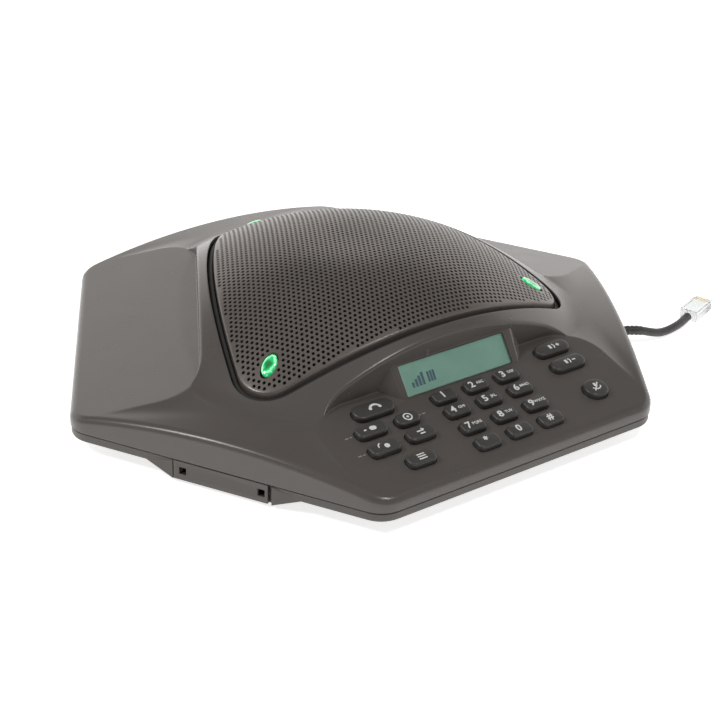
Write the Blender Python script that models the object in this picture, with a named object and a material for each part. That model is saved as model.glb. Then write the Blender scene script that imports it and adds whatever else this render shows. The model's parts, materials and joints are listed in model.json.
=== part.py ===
"""Conference speakerphone: a hexagonal table pod with a domed speaker grille and a keypad lobe.

Frame: origin at the middle of the front foot's face on the table top, +Z up, keypad lobe
facing -Y. Shapes are drawn around the hexagon's centre, which POD_PLACE puts behind that foot.
Lengths are in millimetres; MM turns them into metres as each mesh is made.
The pod has three lobes (front, right, left) with a flat sunken panel each, and three
sides between them with a port bay each. Lobe n is the front lobe turned by 120 n degrees.
"""

import math

import bmesh
import bpy
from mathutils import Matrix, Vector

MM = 0.001
GAP = 0.3                  # air left between neighbouring pieces
FOOT_D = 104.0             # feet, from the hexagon's centre
POD_PLACE = (0.0, FOOT_D, 0.0)

# ---- body ----
APOTHEM = 130.0            # centre to each of the six sides
CORNER_R = 12.0            # plan radius of the six corners
HALF_SIDE = APOTHEM * math.tan(math.pi / 6)
CORNER_RUN = CORNER_R * math.tan(math.pi / 6)
SKIN = 2.5                 # wall thickness of the top cover
BASE_Z = 1.5               # underside of the bottom case
FLOOR = 2.2                # thickness of the bottom case
RIM_Z = 6.8                # lower edge of the side band
SEAM_Z = 13.8              # joint between top cover and bottom case
EDGE_R = 2.0               # rounding of the top cover's upper edge
BASE_INSET = 18.0          # how far the base stands in from the sides

# ---- upper surface ----
DOME_Z = 68.4              # height of the dome's parabola at the centre
DOME_K = 0.00369           # its fall per square millimetre
CROWN_DROP = 2.8           # the crown is flattened by this much
CROWN_R = 28.0             # over about this radius
FLANK_Z = 25.5             # height of the side ridge at mid side
FLANK_RISE = 0.13          # rise per millimetre towards the centre
FLANK_K = 0.00145          # fall towards the corners per square millimetre
BLEND = 2.0                # softness of the crease between dome and flank

# ---- lobe panels ----
PANEL_TILT = math.radians(12.8)
PANEL_Y = -88.0            # a line on the panel, and
PANEL_Z = 27.0             # its height
WALL_Y = -72.5             # upright wall at the panel's inner end
WALL_HALF = 55.0           # half length of its straight stretch
PANEL_HALF = 77.0          # half width of the panel
PANEL_CORNER_Y = -92.0     # where the rounded inner corner meets the panel's side

# ---- grille ----
GRILLE_ARC_R = 326.0       # radius of its three long edges
GRILLE_INNER = 65.4        # centre to the middle of each edge
GRILLE_TIP_R = 17.0        # radius of its three tips
GRILLE_THICK = 1.6
GROOVE = 2.6               # groove width between grille edge line and top cover
LENS_R = 85.8              # status lenses, from the centre

# ---- display ----
LCD_X = 2.2                # centre of the display window
LCD_W = 59.0
LCD_H = 14.7
LCD_FOOT = (-81.7, 29.0)   # (y, z) of the window's lower edge
LCD_TILT = math.radians(53.0)
ISLAND_LEFT = -29.0        # raised block round the display
ISLAND_RIGHT = 35.0
ISLAND_Y = (-82.3, -71.0)
ISLAND_FLARE = 9.0
ISLAND_LOW = 26.5

# ---- keys, measured down from the panel's surface ----
CAP_RISE = 3.0
FLANGE = (2.8, 3.5)
WEB = (4.8, 5.6)
STEM_END = 6.2
BOARD = (7.5, 8.7)
KEY_CLEAR = 0.35

# name: (x, y, width, height, corner radius)
DIAL_X = (-12.9, 4.8, 22.4)
DIAL_Y = (-88.0, -97.7, -108.6, -119.1)
DIAL_NAMES = (("1", "2", "3"), ("4", "5", "6"), ("7", "8", "9"), ("star", "0", "pound"))
SIDE_KEYS = {
    "key_hook": (-47.0, -82.2, 20.5, 8.6, 3.6),
    "key_function_1": (-55.5, -92.8, 15.0, 7.0, 2.6),
    "key_function_2": (-56.4, -103.9, 15.0, 7.0, 2.6),
    "key_function_3": (-36.8, -93.2, 12.0, 7.0, 3.2),
    "key_function_4": (-36.9, -103.2, 14.0, 7.0, 2.6),
    "key_function_5": (-45.9, -115.6, 14.0, 7.0, 2.6),
    "key_volume_up": (54.1, -81.8, 18.5, 7.5, 3.4),
    "key_volume_down": (54.4, -93.0, 18.5, 7.5, 3.4),
    "key_mute": (54.9, -112.0, 11.6, 11.0, 5.2),
}

# ---- inside ----
MAIN_BOARD_Z = (12.0, 13.6)
CHAMBER_R = 56.0
CHAMBER_Z = (17.5, 48.5)
SPEAKER_R = 52.0
SCREW_R = 1.5
LEG_R = 46.0               # circle of the chamber's legs
LEG_PIN_R = 2.5            # pins that stand in the bottom case's bosses
LEG_PIN_Z = 5.5
LEG_SHOULDER_R = 5.0
LEG_FOOT_Z = 11.6          # where the shoulders of the legs stand
MIC_R = 72.0               # microphones, from the centre

# ---- bays ----
BAY_HALF = 23.9
BAY_CHEEK = 38.0           # where a bay's flared cheeks reach the side band
BAY_BACK = 108.0
SEAT_D = 127.9             # seat of the port panels, out from the centre
PANEL_THICK = 1.8
BAY_HOLLOW_HALF = 21.5
BAY_HOLLOW_D = (104.0, 126.0)
JACK_HALF = 6.8
JACK_D = (112.5, 127.5)    # jacks, out from the centre
JACK_Z = (4.0, 11.0)
SOCKET_HALF = 5.2          # hollow of a jack
SOCKET_Z = (4.5, 10.4)
SOCKET_BACK = 114.5
PORT_HALF = 5.3            # opening for it in a port panel
PORT_Z = (4.3, 10.3)
PLUG_HALF = 4.8
PLUG_D = (115.2, 132.5)
PLUG_Z = (4.9, 10.0)
FREE_PLUG_LONG = 18.0
FREE_PLUG_Z = (0.3, 6.0)
CABLE_R = 2.1


# ======================================================================
# small geometry helpers (all in millimetres)
# ======================================================================

def turn(point, angle):
    """A point turned about the Z axis."""
    c, s = math.cos(angle), math.sin(angle)
    return (c * point[0] - s * point[1], s * point[0] + c * point[1], *point[2:])


def rounded_rect(width, height, radius, steps=3):
    """Counter-clockwise outline of a rectangle with round corners."""
    points = []
    for quarter, (sx, sy) in enumerate(((1, 1), (-1, 1), (-1, -1), (1, -1))):
        for i in range(steps + 1):
            a = (quarter + i / steps) * math.pi / 2
            points.append((sx * (width / 2 - radius) + radius * math.cos(a),
                           sy * (height / 2 - radius) + radius * math.sin(a)))
    return points


def circle(radius, steps=24, centre=(0.0, 0.0)):
    return [(centre[0] + radius * math.cos(2 * math.pi * i / steps),
             centre[1] + radius * math.sin(2 * math.pi * i / steps)) for i in range(steps)]


def at_height(outline, z):
    return [(x, y, z) for x, y in outline]


class Shape:
    """Vertices and faces of one mesh under construction."""

    def __init__(self):
        self.verts = []
        self.faces = []

    def add(self, verts, faces, matrix=None):
        base = len(self.verts)
        for v in verts:
            p = Vector(v)
            self.verts.append(matrix @ p if matrix else p)
        self.faces += [[base + i for i in face] for face in faces]
        return self

    def loft(self, rings, caps=True, matrix=None):
        """Walls between equal rings, bottom ring first; the ends are capped or joined up."""
        n = len(rings[0])
        verts = [p for ring in rings for p in ring]
        faces = []
        spans = len(rings) - 1 if caps else len(rings)
        for r in range(spans):
            a, b = r * n, ((r + 1) % len(rings)) * n
            for j in range(n):
                k = (j + 1) % n
                faces.append([a + j, a + k, b + k, b + j])
        if caps:
            faces.append(list(range(n))[::-1])
            faces.append([(len(rings) - 1) * n + j for j in range(n)])
        return self.add(verts, faces, matrix)

    def loft_wall(self, low, high):
        """One open band of faces between two equal rings."""
        n = len(low)
        faces = [[j, (j + 1) % n, n + (j + 1) % n, n + j] for j in range(n)]
        return self.add(list(low) + list(high), faces)

    def prism(self, outline, low, high, matrix=None):
        return self.loft([at_height(outline, low), at_height(outline, high)], True, matrix)

    def lathe(self, profile, steps=32, centre=(0.0, 0.0), matrix=None):
        """Turned ring from a closed (radius, z) profile, outer side listed upwards."""
        rings = [at_height(circle(r, steps, centre), z) for r, z in profile]
        return self.loft(rings, False, matrix)

    def turned(self, profile, steps=24, centre=(0.0, 0.0), matrix=None):
        """Turned solid from an open (radius, z) profile listed upwards; flat ends."""
        rings = [at_height(circle(r, steps, centre), z) for r, z in profile]
        return self.loft(rings, True, matrix)

    def hull(self, points):
        bm = bmesh.new()
        for p in points:
            bm.verts.new(p)
        bmesh.ops.convex_hull(bm, input=bm.verts)
        loose = [v for v in bm.verts if not v.link_faces]
        bmesh.ops.delete(bm, geom=loose, context="VERTS")
        bm.verts.index_update()
        self.add([v.co.copy() for v in bm.verts], [[v.index for v in f.verts] for f in bm.faces])
        bm.free()
        return self

    def mesh(self, name):
        bm = bmesh.new()
        verts = [bm.verts.new(v * MM) for v in self.verts]
        for face in self.faces:
            bm.faces.new([verts[i] for i in face])
        bmesh.ops.remove_doubles(bm, verts=bm.verts, dist=0.01 * MM)
        bmesh.ops.recalc_face_normals(bm, faces=bm.faces)
        mesh = bpy.data.meshes.new(name)
        bm.to_mesh(mesh)
        bm.free()
        return mesh


def material(name, color, roughness, metallic=0.0):
    mat = bpy.data.materials.new(name)
    mat.use_nodes = True
    bsdf = mat.node_tree.nodes["Principled BSDF"]
    bsdf.inputs["Base Color"].default_value = (*color, 1.0)
    bsdf.inputs["Roughness"].default_value = roughness
    bsdf.inputs["Metallic"].default_value = metallic
    return mat


def add_object(name, shape, mat, location=(0, 0, 0), rotation=(0, 0, 0), round_angle=35):
    """One node of the part, from a Shape in millimetres; location is from the pod's centre."""
    mesh = shape.mesh(name)
    obj = bpy.data.objects.new(name, mesh)
    bpy.context.scene.collection.objects.link(obj)
    mesh.materials.append(mat)
    mesh.shade_smooth()
    mesh.set_sharp_from_angle(angle=math.radians(round_angle))
    obj.location = (Vector(POD_PLACE) + Vector(location)) * MM
    obj.rotation_euler = rotation
    return obj


def add_tool(name, shape, parent):
    """A Boolean operand: hidden, drawn as a wire, riding on the piece that it shapes."""
    obj = bpy.data.objects.new(name, shape.mesh(name))
    bpy.context.scene.collection.objects.link(obj)
    obj.hide_render = True
    obj.display_type = "WIRE"
    obj.parent = parent
    return obj


def boolean(obj, operation, shape, name):
    mod = obj.modifiers.new(name, "BOOLEAN")
    mod.operation = operation
    mod.solver = "EXACT"
    mod.object = add_tool(f"{obj.name}_{name}", shape, obj)


# ======================================================================
# the pod's surface
# ======================================================================

def side_place(turns, d, lat, z):
    """A point d out from the centre and lat along a side whose normal is -Y turned by turns/6."""
    return turn((lat, -d, z), turns * math.pi / 3)


def panel_height(y):
    return PANEL_Z + math.tan(PANEL_TILT) * (y - PANEL_Y)


def dome_height(x, y):
    rr = x * x + y * y
    return DOME_Z - DOME_K * rr - CROWN_DROP * math.exp(-rr / CROWN_R ** 2)


def flank_height(x, y):
    """Height of the flank above the nearest of the three port sides."""
    lat, low = min((turn((x, y), -turns * math.pi / 3) for turns in (1, 3, 5)), key=lambda p: p[1])
    return FLANK_Z + FLANK_RISE * (APOTHEM + low) - FLANK_K * lat * lat


def body_height(x, y):
    """Upper surface outside the lobe panels: dome and flanks with a soft crease."""
    a, b = dome_height(x, y), flank_height(x, y)
    return (a + b + math.sqrt((a - b) ** 2 + BLEND ** 2)) / 2


def grille_radius(angle, grow):
    """Distance from the centre to the grille's edge line, grown outwards, at one plan angle."""
    third = 2 * math.pi / 3
    a = abs((angle + math.pi / 2 + third / 2) % third - third / 2)
    back = GRILLE_ARC_R - GRILLE_INNER
    tip = -back / 2 + math.sqrt((GRILLE_ARC_R - GRILLE_TIP_R) ** 2 - 0.75 * back ** 2)
    touch = math.atan2(tip * math.sin(math.pi / 3), tip / 2 + back)
    touch_x = GRILLE_ARC_R * math.sin(touch)
    touch_y = GRILLE_ARC_R * math.cos(touch) - back
    if a < math.atan2(touch_x, touch_y):
        return -back * math.cos(a) + math.sqrt((GRILLE_ARC_R + grow) ** 2 - (back * math.sin(a)) ** 2)
    off = math.pi / 3 - a
    return tip * math.cos(off) + math.sqrt((GRILLE_TIP_R + grow) ** 2 - (tip * math.sin(off)) ** 2)


def grille_point(angle, grow):
    r = grille_radius(angle, grow)
    return (r * math.cos(angle), r * math.sin(angle))


def hex_edge(inset, side_steps, arc_steps=3):
    """The pod's outline set in by inset, from mid front lobe round; equal for every inset."""
    points = []
    reach = APOTHEM - inset
    corner = CORNER_R - inset
    straight = HALF_SIDE - CORNER_RUN
    for turns in range(6):
        steps = side_steps[turns % 2]
        for i in range(steps + 1):
            lat = straight * (2 * i / steps - 1)
            points.append(turn((lat, -reach), turns * math.pi / 3))
        for i in range(1, arc_steps):
            a = i / arc_steps * math.pi / 3
            arc = (straight + corner * math.sin(a), -(APOTHEM - CORNER_R) - corner * math.cos(a))
            points.append(turn(arc, turns * math.pi / 3))
    return points


# ======================================================================
# top cover
# ======================================================================

WALL_STEPS = 8             # along the wall of a lobe
TIP_STEPS = 8              # across a side, from lobe to lobe
BAND_STEPS = 2             # from the grille's groove to the wall
ROW_CENTRES = (103.0, 107.0, 110.5, 114.0, 118.0, 122.0, 126.0)
OPENING_SHARE = 0.92       # part of the opening's edge that faces the straight wall


def panel_border():
    """Half of a lobe panel's border, from the end of the straight wall to the pod's edge."""
    rx = PANEL_HALF - WALL_HALF
    ry = WALL_Y - PANEL_CORNER_Y
    points = []
    for i in range(5):
        a = math.pi / 2 * (1 - i / 4)
        points.append((WALL_HALF + rx * math.cos(a), PANEL_CORNER_Y + ry * math.sin(a)))
    for y in (-103.0, -114.0):
        points.append((PANEL_HALF, y))
    return points


def join(shapes):
    whole = Shape()
    for shape in shapes:
        whole.add(shape.verts, shape.faces)
    return whole


class CoverSkin:
    """Faces of the cover's outer surface (drop 0) or of its inner one (drop SKIN)."""

    def __init__(self, drop):
        self.drop = drop
        self.edge_inset = EDGE_R if drop == 0 else drop + 1.0
        self.shape = Shape()
        border = panel_border()
        straight = HALF_SIDE - CORNER_RUN
        last = turn((-straight, -(APOTHEM - self.edge_inset)), math.pi / 3)
        self.border = border + [last]

    def quad(self, *points):
        unique = []
        for p in points:
            if all((Vector(p) - Vector(q)).length > 0.02 for q in unique):
                unique.append(p)
        if len(unique) > 2:
            self.shape.add(unique, [list(range(len(unique)))])

    def strip(self, row_a, row_b):
        for i in range(len(row_a) - 1):
            self.quad(row_a[i], row_a[i + 1], row_b[i + 1], row_b[i])

    def on_body(self, p):
        return (p[0], p[1], body_height(p[0], p[1]) - self.drop)

    def on_panel(self, p):
        return (p[0], p[1], panel_height(p[1]) - self.drop)

    def rings(self):
        """Closed rings from the groove round the grille to the lobe walls, for one lobe."""
        wall_y = WALL_Y + self.drop
        outer = []
        for i in range(WALL_STEPS + 1):
            outer.append((WALL_HALF * (2 * i / WALL_STEPS - 1), wall_y))
        end = self.border[0]
        lat_end, d_end = self.to_side(end)
        for i in range(1, TIP_STEPS):
            outer.append(self.tip_point(ROW_CENTRES[0], d_end, lat_end, i))
        inner = []
        for i in range(WALL_STEPS + 1):
            x = WALL_HALF * OPENING_SHARE * (2 * i / WALL_STEPS - 1)
            bow = x * x / (2 * GRILLE_ARC_R)
            inner.append(grille_point(math.atan2(bow - GRILLE_INNER, x), GROOVE))
        first = math.atan2(inner[-1][1], inner[-1][0])
        last = math.radians(-30) + (math.radians(-30) - first)
        for i in range(1, TIP_STEPS):
            a = first + (last - first) * (i / TIP_STEPS)
            inner.append(grille_point(a, GROOVE))
        rows = []
        for r in range(BAND_STEPS + 1):
            s = r / BAND_STEPS
            rows.append([((1 - s) * a[0] + s * b[0], (1 - s) * a[1] + s * b[1])
                         for a, b in zip(inner, outer)])
        return rows

    def opening(self):
        """Closed edge of this skin round the grille."""
        third = [self.on_body(p) for p in self.rings()[0]]
        return [turn(p, n * 2 * math.pi / 3) for n in range(3) for p in third]

    @staticmethod
    def to_side(p):
        """Plan point near the right side as (lateral, distance) from that side's mid line."""
        x, y = turn(p, -math.pi / 3)
        return x, -y

    @staticmethod
    def tip_point(d_mid, d_end, lat_end, i):
        """Point i of a row across the right side; the row bows outwards at its middle."""
        t = 2 * i / TIP_STEPS - 1
        d = d_mid + (d_end - d_mid) * t * t
        return turn((abs(lat_end) * t, -d), math.pi / 3)

    def side_rows(self):
        """Rows across the right side, each between two lobe panel borders."""
        rows = []
        for k in range(1, len(self.border)):
            lat_end, d_end = self.to_side(self.border[k])
            d_mid = ROW_CENTRES[k] if k < len(ROW_CENTRES) else APOTHEM - self.edge_inset
            row = []
            for i in range(TIP_STEPS + 1):
                p = self.tip_point(d_mid, d_end, lat_end, i)
                row.append(self.row_height(p, k, i))
            rows.append(row)
        return rows

    def row_height(self, p, k, i):
        """Row ends lie on the panels, except by the low end of the wall."""
        if 0 < i < TIP_STEPS:
            return self.on_body(p)
        if k == 1 and self.drop == 0:
            return self.on_body(p)
        y = self.border[k][1]
        return (p[0], p[1], panel_height(y) - self.drop)

    def build(self):
        rows = self.rings()
        heights = [[self.on_body(p) for p in row] for row in rows]
        for n in range(3):
            a = n * 2 * math.pi / 3
            b = (n + 1) * 2 * math.pi / 3
            lobe = [[turn(p, a) for p in row] + [turn(row[0], b)] for row in heights]
            for inner, outer in zip(lobe, lobe[1:]):
                self.strip(inner, outer)
            self.lobe_faces(lobe[-1], a)
        return self.shape

    def lobe_faces(self, wall_row, a):
        """Wall, flat panel and side field of the lobe turned by angle a."""
        wall_top = wall_row[:WALL_STEPS + 1]
        wall_foot = []
        for i in range(WALL_STEPS + 1):
            x = WALL_HALF * (2 * i / WALL_STEPS - 1)
            wall_foot.append(turn(self.on_panel((x, WALL_Y + self.drop)), a))
        self.strip(wall_foot, wall_top)
        rows = [[turn(p, a) for p in row] for row in self.side_rows()]
        self.strip(wall_row[WALL_STEPS:], rows[0])
        for inner, outer in zip(rows, rows[1:]):
            self.strip(inner, outer)
        right = [turn(self.on_panel(p), a) for p in self.border[1:]]
        left = [turn(self.on_panel((-p[0], p[1])), a) for p in self.border[1:]]
        # low ends of the wall
        self.quad(wall_foot[-1], right[0], rows[0][0], wall_top[-1])
        back = [turn(p, -2 * math.pi / 3) for p in rows[0]]
        self.quad(wall_foot[0], left[0], back[-1], wall_top[0])
        self.quad(right[0], right[1], rows[0][0])
        self.quad(left[0], left[1], back[-1])
        edge = []
        for p in self.lobe_edge():
            edge.append(turn(self.on_panel(p), a))
        self.shape.add(*self.polygon(wall_foot + right + edge + left[::-1]))

    @staticmethod
    def polygon(points):
        unique = []
        for p in points:
            if not unique or (Vector(p) - Vector(unique[-1])).length > 0.02:
                unique.append(p)
        if (Vector(unique[0]) - Vector(unique[-1])).length < 0.02:
            unique.pop()
        return unique, [list(range(len(unique)))]

    def lobe_edge(self):
        """The panel's outer border, from its right end back to its left."""
        ring = hex_edge(self.edge_inset, EDGE_STEPS)
        n = len(ring)
        front = [ring[(k - 2) % n] for k in range(EDGE_STEPS[0] + 5)]
        return front[::-1]


EDGE_STEPS = (4, TIP_STEPS)


def edge_top(inset, k):
    """Height of the cover's surface at point k of the outline."""
    ring = hex_edge(inset, EDGE_STEPS)
    per_pair = EDGE_STEPS[0] + EDGE_STEPS[1] + 6
    lobe, place = divmod(k, per_pair)
    first_side = EDGE_STEPS[0] + 3
    x, y = ring[k]
    side_inner = first_side < place < first_side + EDGE_STEPS[1]
    if side_inner:
        return body_height(x, y)
    if place >= first_side + EDGE_STEPS[1]:
        lobe += 1
    _, y = turn((x, y), -lobe * 2 * math.pi / 3)
    return panel_height(y)


def cover_shell():
    """Both skins, the edge of the opening, and the sides from the rounded rim to the seam."""
    outer = CoverSkin(0.0)
    inner = CoverSkin(SKIN)
    shape = join([outer.build(), inner.build()])
    shape.loft_wall(inner.opening(), outer.opening())
    count = len(hex_edge(0.0, EDGE_STEPS))
    slope = EDGE_R * (1 - math.sqrt(0.5))
    levels = []
    for inset, fall in ((EDGE_R, 0.0), (slope, slope), (0.0, EDGE_R)):
        ring = hex_edge(inset, EDGE_STEPS)
        levels.append([(*ring[k], edge_top(EDGE_R, k) - fall) for k in range(count)])
    levels.append(at_height(hex_edge(0.0, EDGE_STEPS), SEAM_Z))
    levels.append(at_height(hex_edge(SKIN, EDGE_STEPS), SEAM_Z))
    inner_inset = SKIN + 1.0
    levels.append([(*p, edge_top(inner_inset, k) - SKIN - 1.0)
                   for k, p in enumerate(hex_edge(SKIN, EDGE_STEPS))])
    levels.append([(*p, edge_top(inner_inset, k) - SKIN)
                   for k, p in enumerate(hex_edge(inner_inset, EDGE_STEPS))])
    for low, high in zip(levels, levels[1:]):
        shape.loft_wall(low, high)
    return shape


def panel_matrix(x=0.0, y=PANEL_Y):
    """Frame of the keypad panel: X across, Y up the slope, Z out of the panel."""
    return Matrix.Translation((x, y, panel_height(y))) @ Matrix.Rotation(PANEL_TILT, 4, "X")


def lcd_matrix():
    """Frame of the display: origin at the window's centre, Z out of the window."""
    up = LCD_H / 2
    y = LCD_FOOT[0] + up * math.cos(LCD_TILT)
    z = LCD_FOOT[1] + up * math.sin(LCD_TILT)
    return Matrix.Translation((LCD_X, y, z)) @ Matrix.Rotation(LCD_TILT, 4, "X")


def all_keys():
    keys = dict(SIDE_KEYS)
    for names, y in zip(DIAL_NAMES, DIAL_Y):
        for name, x in zip(names, DIAL_X):
            keys[f"key_{name}"] = (x, y, 12.0, 7.0, 2.2)
    return keys


def key_steps(name):
    return 2 if name == "key_mute" else 1


def island():
    """Wedge that carries the display, between the panel and the wall."""
    front, back = ISLAND_Y
    face = LCD_FOOT[1] + (front - LCD_FOOT[0]) * math.tan(LCD_TILT)
    top = LCD_FOOT[1] + (back - LCD_FOOT[0]) * math.tan(LCD_TILT)
    points = []
    for x, side in ((ISLAND_LEFT, -1), (ISLAND_RIGHT, 1)):
        foot = x + side * ISLAND_FLARE
        points += [(x, front, face), (x, front, ISLAND_LOW), (x + 2 * side, back, top),
                   (foot, back, panel_height(back) + 0.5), (foot, back, ISLAND_LOW)]
    return Shape().hull(points)


CORNER_POST_R = 138.0


def case_screw_places():
    """Plan places of the three case screws, in every second corner."""
    return [turn((0.0, -CORNER_POST_R), (k + 0.5) * math.pi / 3) for k in (0, 2, 4)]


def leg_places():
    """Plan places of the speaker chamber's three legs."""
    return [turn((0.0, -LEG_R), k * math.pi / 3) for k in (1, 3, 5)]


POST_Z = (SEAM_Z, 17.6)
POST_R = 4.0
POST_HOLE_TOP = 16.4
PIN_PLACES = ((-24.6, -5.0), (-24.6, -28.0), (36.0, -5.0), (36.0, -28.0))
PIN_R = 1.4
SCREW_HOLE_R = SCREW_R + GAP


def build_top_cover(mat):
    cover = add_object("top_cover", cover_shell(), mat, round_angle=28)
    boolean(cover, "UNION", island(), "island")
    posts = Shape()
    for place in case_screw_places():
        posts.prism(circle(POST_R, 12, place), *POST_Z)
    for x, v in PIN_PLACES:
        posts.prism(circle(PIN_R, 8, (x, v)), -BOARD[1] - 0.8, -1.0, panel_matrix())
    boolean(cover, "UNION", posts, "posts")
    holes = Shape()
    for name, (x, y, w, h, r) in all_keys().items():
        outline = rounded_rect(w + 2 * KEY_CLEAR, h + 2 * KEY_CLEAR, r + KEY_CLEAR, key_steps(name))
        holes.prism(outline, -6.0, 6.0, panel_matrix(x, y))
    for place in case_screw_places():
        holes.prism(circle(SCREW_HOLE_R, 8, place), SEAM_Z - 1, POST_HOLE_TOP)
    boolean(cover, "DIFFERENCE", holes, "holes")
    window = Shape().prism(rounded_rect(LCD_W, LCD_H, 0.8, 1), -6.0, 3.0, lcd_matrix())
    boolean(cover, "DIFFERENCE", window, "window")
    cavity = Shape().prism(rounded_rect(LCD_W + 3, LCD_H + 5, 0.8, 1), -16.0, -1.8, lcd_matrix())
    boolean(cover, "DIFFERENCE", cavity, "cavity")
    return cover


# ======================================================================
# grille, its seal and the status lenses
# ======================================================================

GRILLE_ANGLES = 72
SHEET_EDGE = -0.5          # the sheet's edge, grown from the edge line
SKIRT = 4.5                # how far its skirt hangs down
SKIRT_THICK = 1.4
SEAL_TOP = 1.4             # the seal lies this far below the surface
SEAL_FOOT = 5.0


def grille_ring(grow, drop):
    ring = []
    for i in range(GRILLE_ANGLES):
        x, y = grille_point(2 * math.pi * i / GRILLE_ANGLES, grow)
        ring.append((x, y, body_height(x, y) - drop))
    return ring


def dome_ring(grow, share, drop):
    """The sheet's outline scaled by share, laid on the dome."""
    ring = []
    for x, y, _ in grille_ring(grow, 0):
        x, y = share * x, share * y
        ring.append((x, y, dome_height(x, y) - drop))
    return ring


def build_grille(mat):
    """Domed sheet with a short skirt; its perforations are part of the finish."""
    shape = Shape()
    shares = (1.0, 0.86, 0.7, 0.52, 0.34, 0.16)
    top = [dome_ring(SHEET_EDGE, share, 0.0) for share in shares]
    under = [dome_ring(SHEET_EDGE - SKIRT_THICK, share, GRILLE_THICK) for share in shares[::-1]]
    skirt_out = [(x, y, z - SKIRT) for x, y, z in top[0]]
    skirt_in = [(x, y, z - SKIRT + GRILLE_THICK) for x, y, z in under[-1]]
    crown = [(0.0, 0.0, dome_height(0, 0))]
    well = [(0.0, 0.0, dome_height(0, 0) - GRILLE_THICK)]
    n = GRILLE_ANGLES
    for low, high in zip([skirt_out] + top, top):
        shape.loft_wall(low, high)
    for low, high in zip(under, under[1:] + [skirt_in]):
        shape.loft_wall(low, high)
    shape.loft_wall(skirt_in, skirt_out)
    for j in range(n):
        k = (j + 1) % n
        shape.add([top[-1][j], top[-1][k], crown[0]], [[0, 1, 2]])
        shape.add([under[0][k], under[0][j], well[0]], [[0, 1, 2]])
    grille = add_object("speaker_grille", shape, mat, round_angle=40)
    slots = Shape()
    for turns in (1, 3, 5):
        slots.add(*lens_column(turns, GAP, 25.0, 60.0))
    boolean(grille, "DIFFERENCE", slots, "lens_slots")
    return grille


LENS_LONG = 11.0
LENS_WIDE = 6.4
LENS_PROUD = 0.2
LENS_FOOT_Z = 16.4


def lens_outline(turns, grow, steps=14):
    points = []
    for i in range(steps):
        a = 2 * math.pi * i / steps
        along = (LENS_LONG / 2 + grow) * math.cos(a)
        across = (LENS_WIDE / 2 + grow) * math.sin(a)
        points.append(turn((-across, -LENS_R - along), turns * math.pi / 3))
    return points


def lens_column(turns, grow, low, high):
    shape = Shape().prism(lens_outline(turns, grow), low, high)
    return shape.verts, shape.faces


def build_lenses(mat):
    for name, turns in (("right", 1), ("back", 3), ("left", 5)):
        outline = lens_outline(turns, 0.0)
        top = [(x, y, dome_height(x, y) + LENS_PROUD) for x, y in outline]
        shape = Shape().loft([at_height(outline, LENS_FOOT_Z), top])
        add_object(f"status_lens_{name}", shape, mat)


def build_seal(mat):
    rings = [grille_ring(GROOVE - GAP, SEAL_FOOT), grille_ring(GROOVE - GAP, SEAL_TOP),
             grille_ring(SHEET_EDGE + GAP, SEAL_TOP), grille_ring(SHEET_EDGE + GAP, SEAL_FOOT)]
    add_object("grille_seal", Shape().loft(rings, caps=False), mat)


# ======================================================================
# display, keys and the keypad's insides
# ======================================================================

def build_display(mats):
    window = Shape().prism(rounded_rect(LCD_W - 0.6, LCD_H - 0.6, 0.6, 1), -1.6, -0.4, lcd_matrix())
    add_object("display_window", window, mats["clear"])
    module = Shape().prism(rounded_rect(LCD_W + 2.2, LCD_H + 4.2, 0.5, 1), -6.0, -2.3, lcd_matrix())
    add_object("lcd_module", module, mats["lcd"])


STEM_SHARE = 0.45


def build_keys(mat):
    """Each key: cap, retaining flange under the cover and a stem through the web."""
    for name, (x, y, w, h, r) in all_keys().items():
        steps = key_steps(name)
        stem = rounded_rect(STEM_SHARE * w, STEM_SHARE * h, 0.6, steps)
        flange = rounded_rect(w + 2.4, h + 1.6, r, steps)
        cap = rounded_rect(w, h, r, steps)
        top = rounded_rect(w - 1.6, h - 1.6, r - 0.8, steps)
        rings = [at_height(stem, -STEM_END), at_height(stem, -FLANGE[1]),
                 at_height(flange, -FLANGE[1]), at_height(flange, -FLANGE[0]),
                 at_height(cap, -FLANGE[0]), at_height(cap, CAP_RISE - 0.8), at_height(top, CAP_RISE)]
        add_object(name, Shape().loft(rings), mat, location=(x, y, panel_height(y)),
                   rotation=(PANEL_TILT, 0.0, 0.0))


def keypad_outline():
    """Sheet outline in the panel's frame, notched under the display."""
    return [(-61.5, -36.5), (61.5, -36.5), (61.5, 11.5), (39.5, 11.5), (39.5, 5.5),
            (-32.5, 5.5), (-32.5, 11.5), (-61.5, 11.5)]


def build_keypad_inside(mats):
    web = Shape().prism(keypad_outline(), -WEB[1], -WEB[0], panel_matrix())
    web = add_object("keypad_web", web, mats["silicone"])
    holes = Shape()
    for name, (x, y, w, h, r) in all_keys().items():
        outline = rounded_rect(STEM_SHARE * w + 0.7, STEM_SHARE * h + 0.7, 0.6, 1)
        holes.prism(outline, -WEB[1] - 1, -WEB[0] + 1, panel_matrix(x, y))
    for place in PIN_PLACES:
        holes.prism(circle(PIN_R + GAP, 8, place), -WEB[1] - 1, -WEB[0] + 1, panel_matrix())
    boolean(web, "DIFFERENCE", holes, "holes")
    board = Shape().prism(keypad_outline(), -BOARD[1], -BOARD[0], panel_matrix())
    board = add_object("keypad_board", board, mats["board"])
    holes = Shape()
    for place in PIN_PLACES:
        holes.prism(circle(PIN_R + GAP, 8, place), -BOARD[1] - 1, -BOARD[0] + 1, panel_matrix())
    boolean(board, "DIFFERENCE", holes, "holes")


# ======================================================================
# bottom case, feet, ports
# ======================================================================

SIDES = {"left": 5, "right": 1, "back": 3}
JACK_LAT = {"right": 14.0, "back": 0.0}
HEAD_POCKET_Z = 8.3
BOARD_SCREW_R = 82.0


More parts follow.
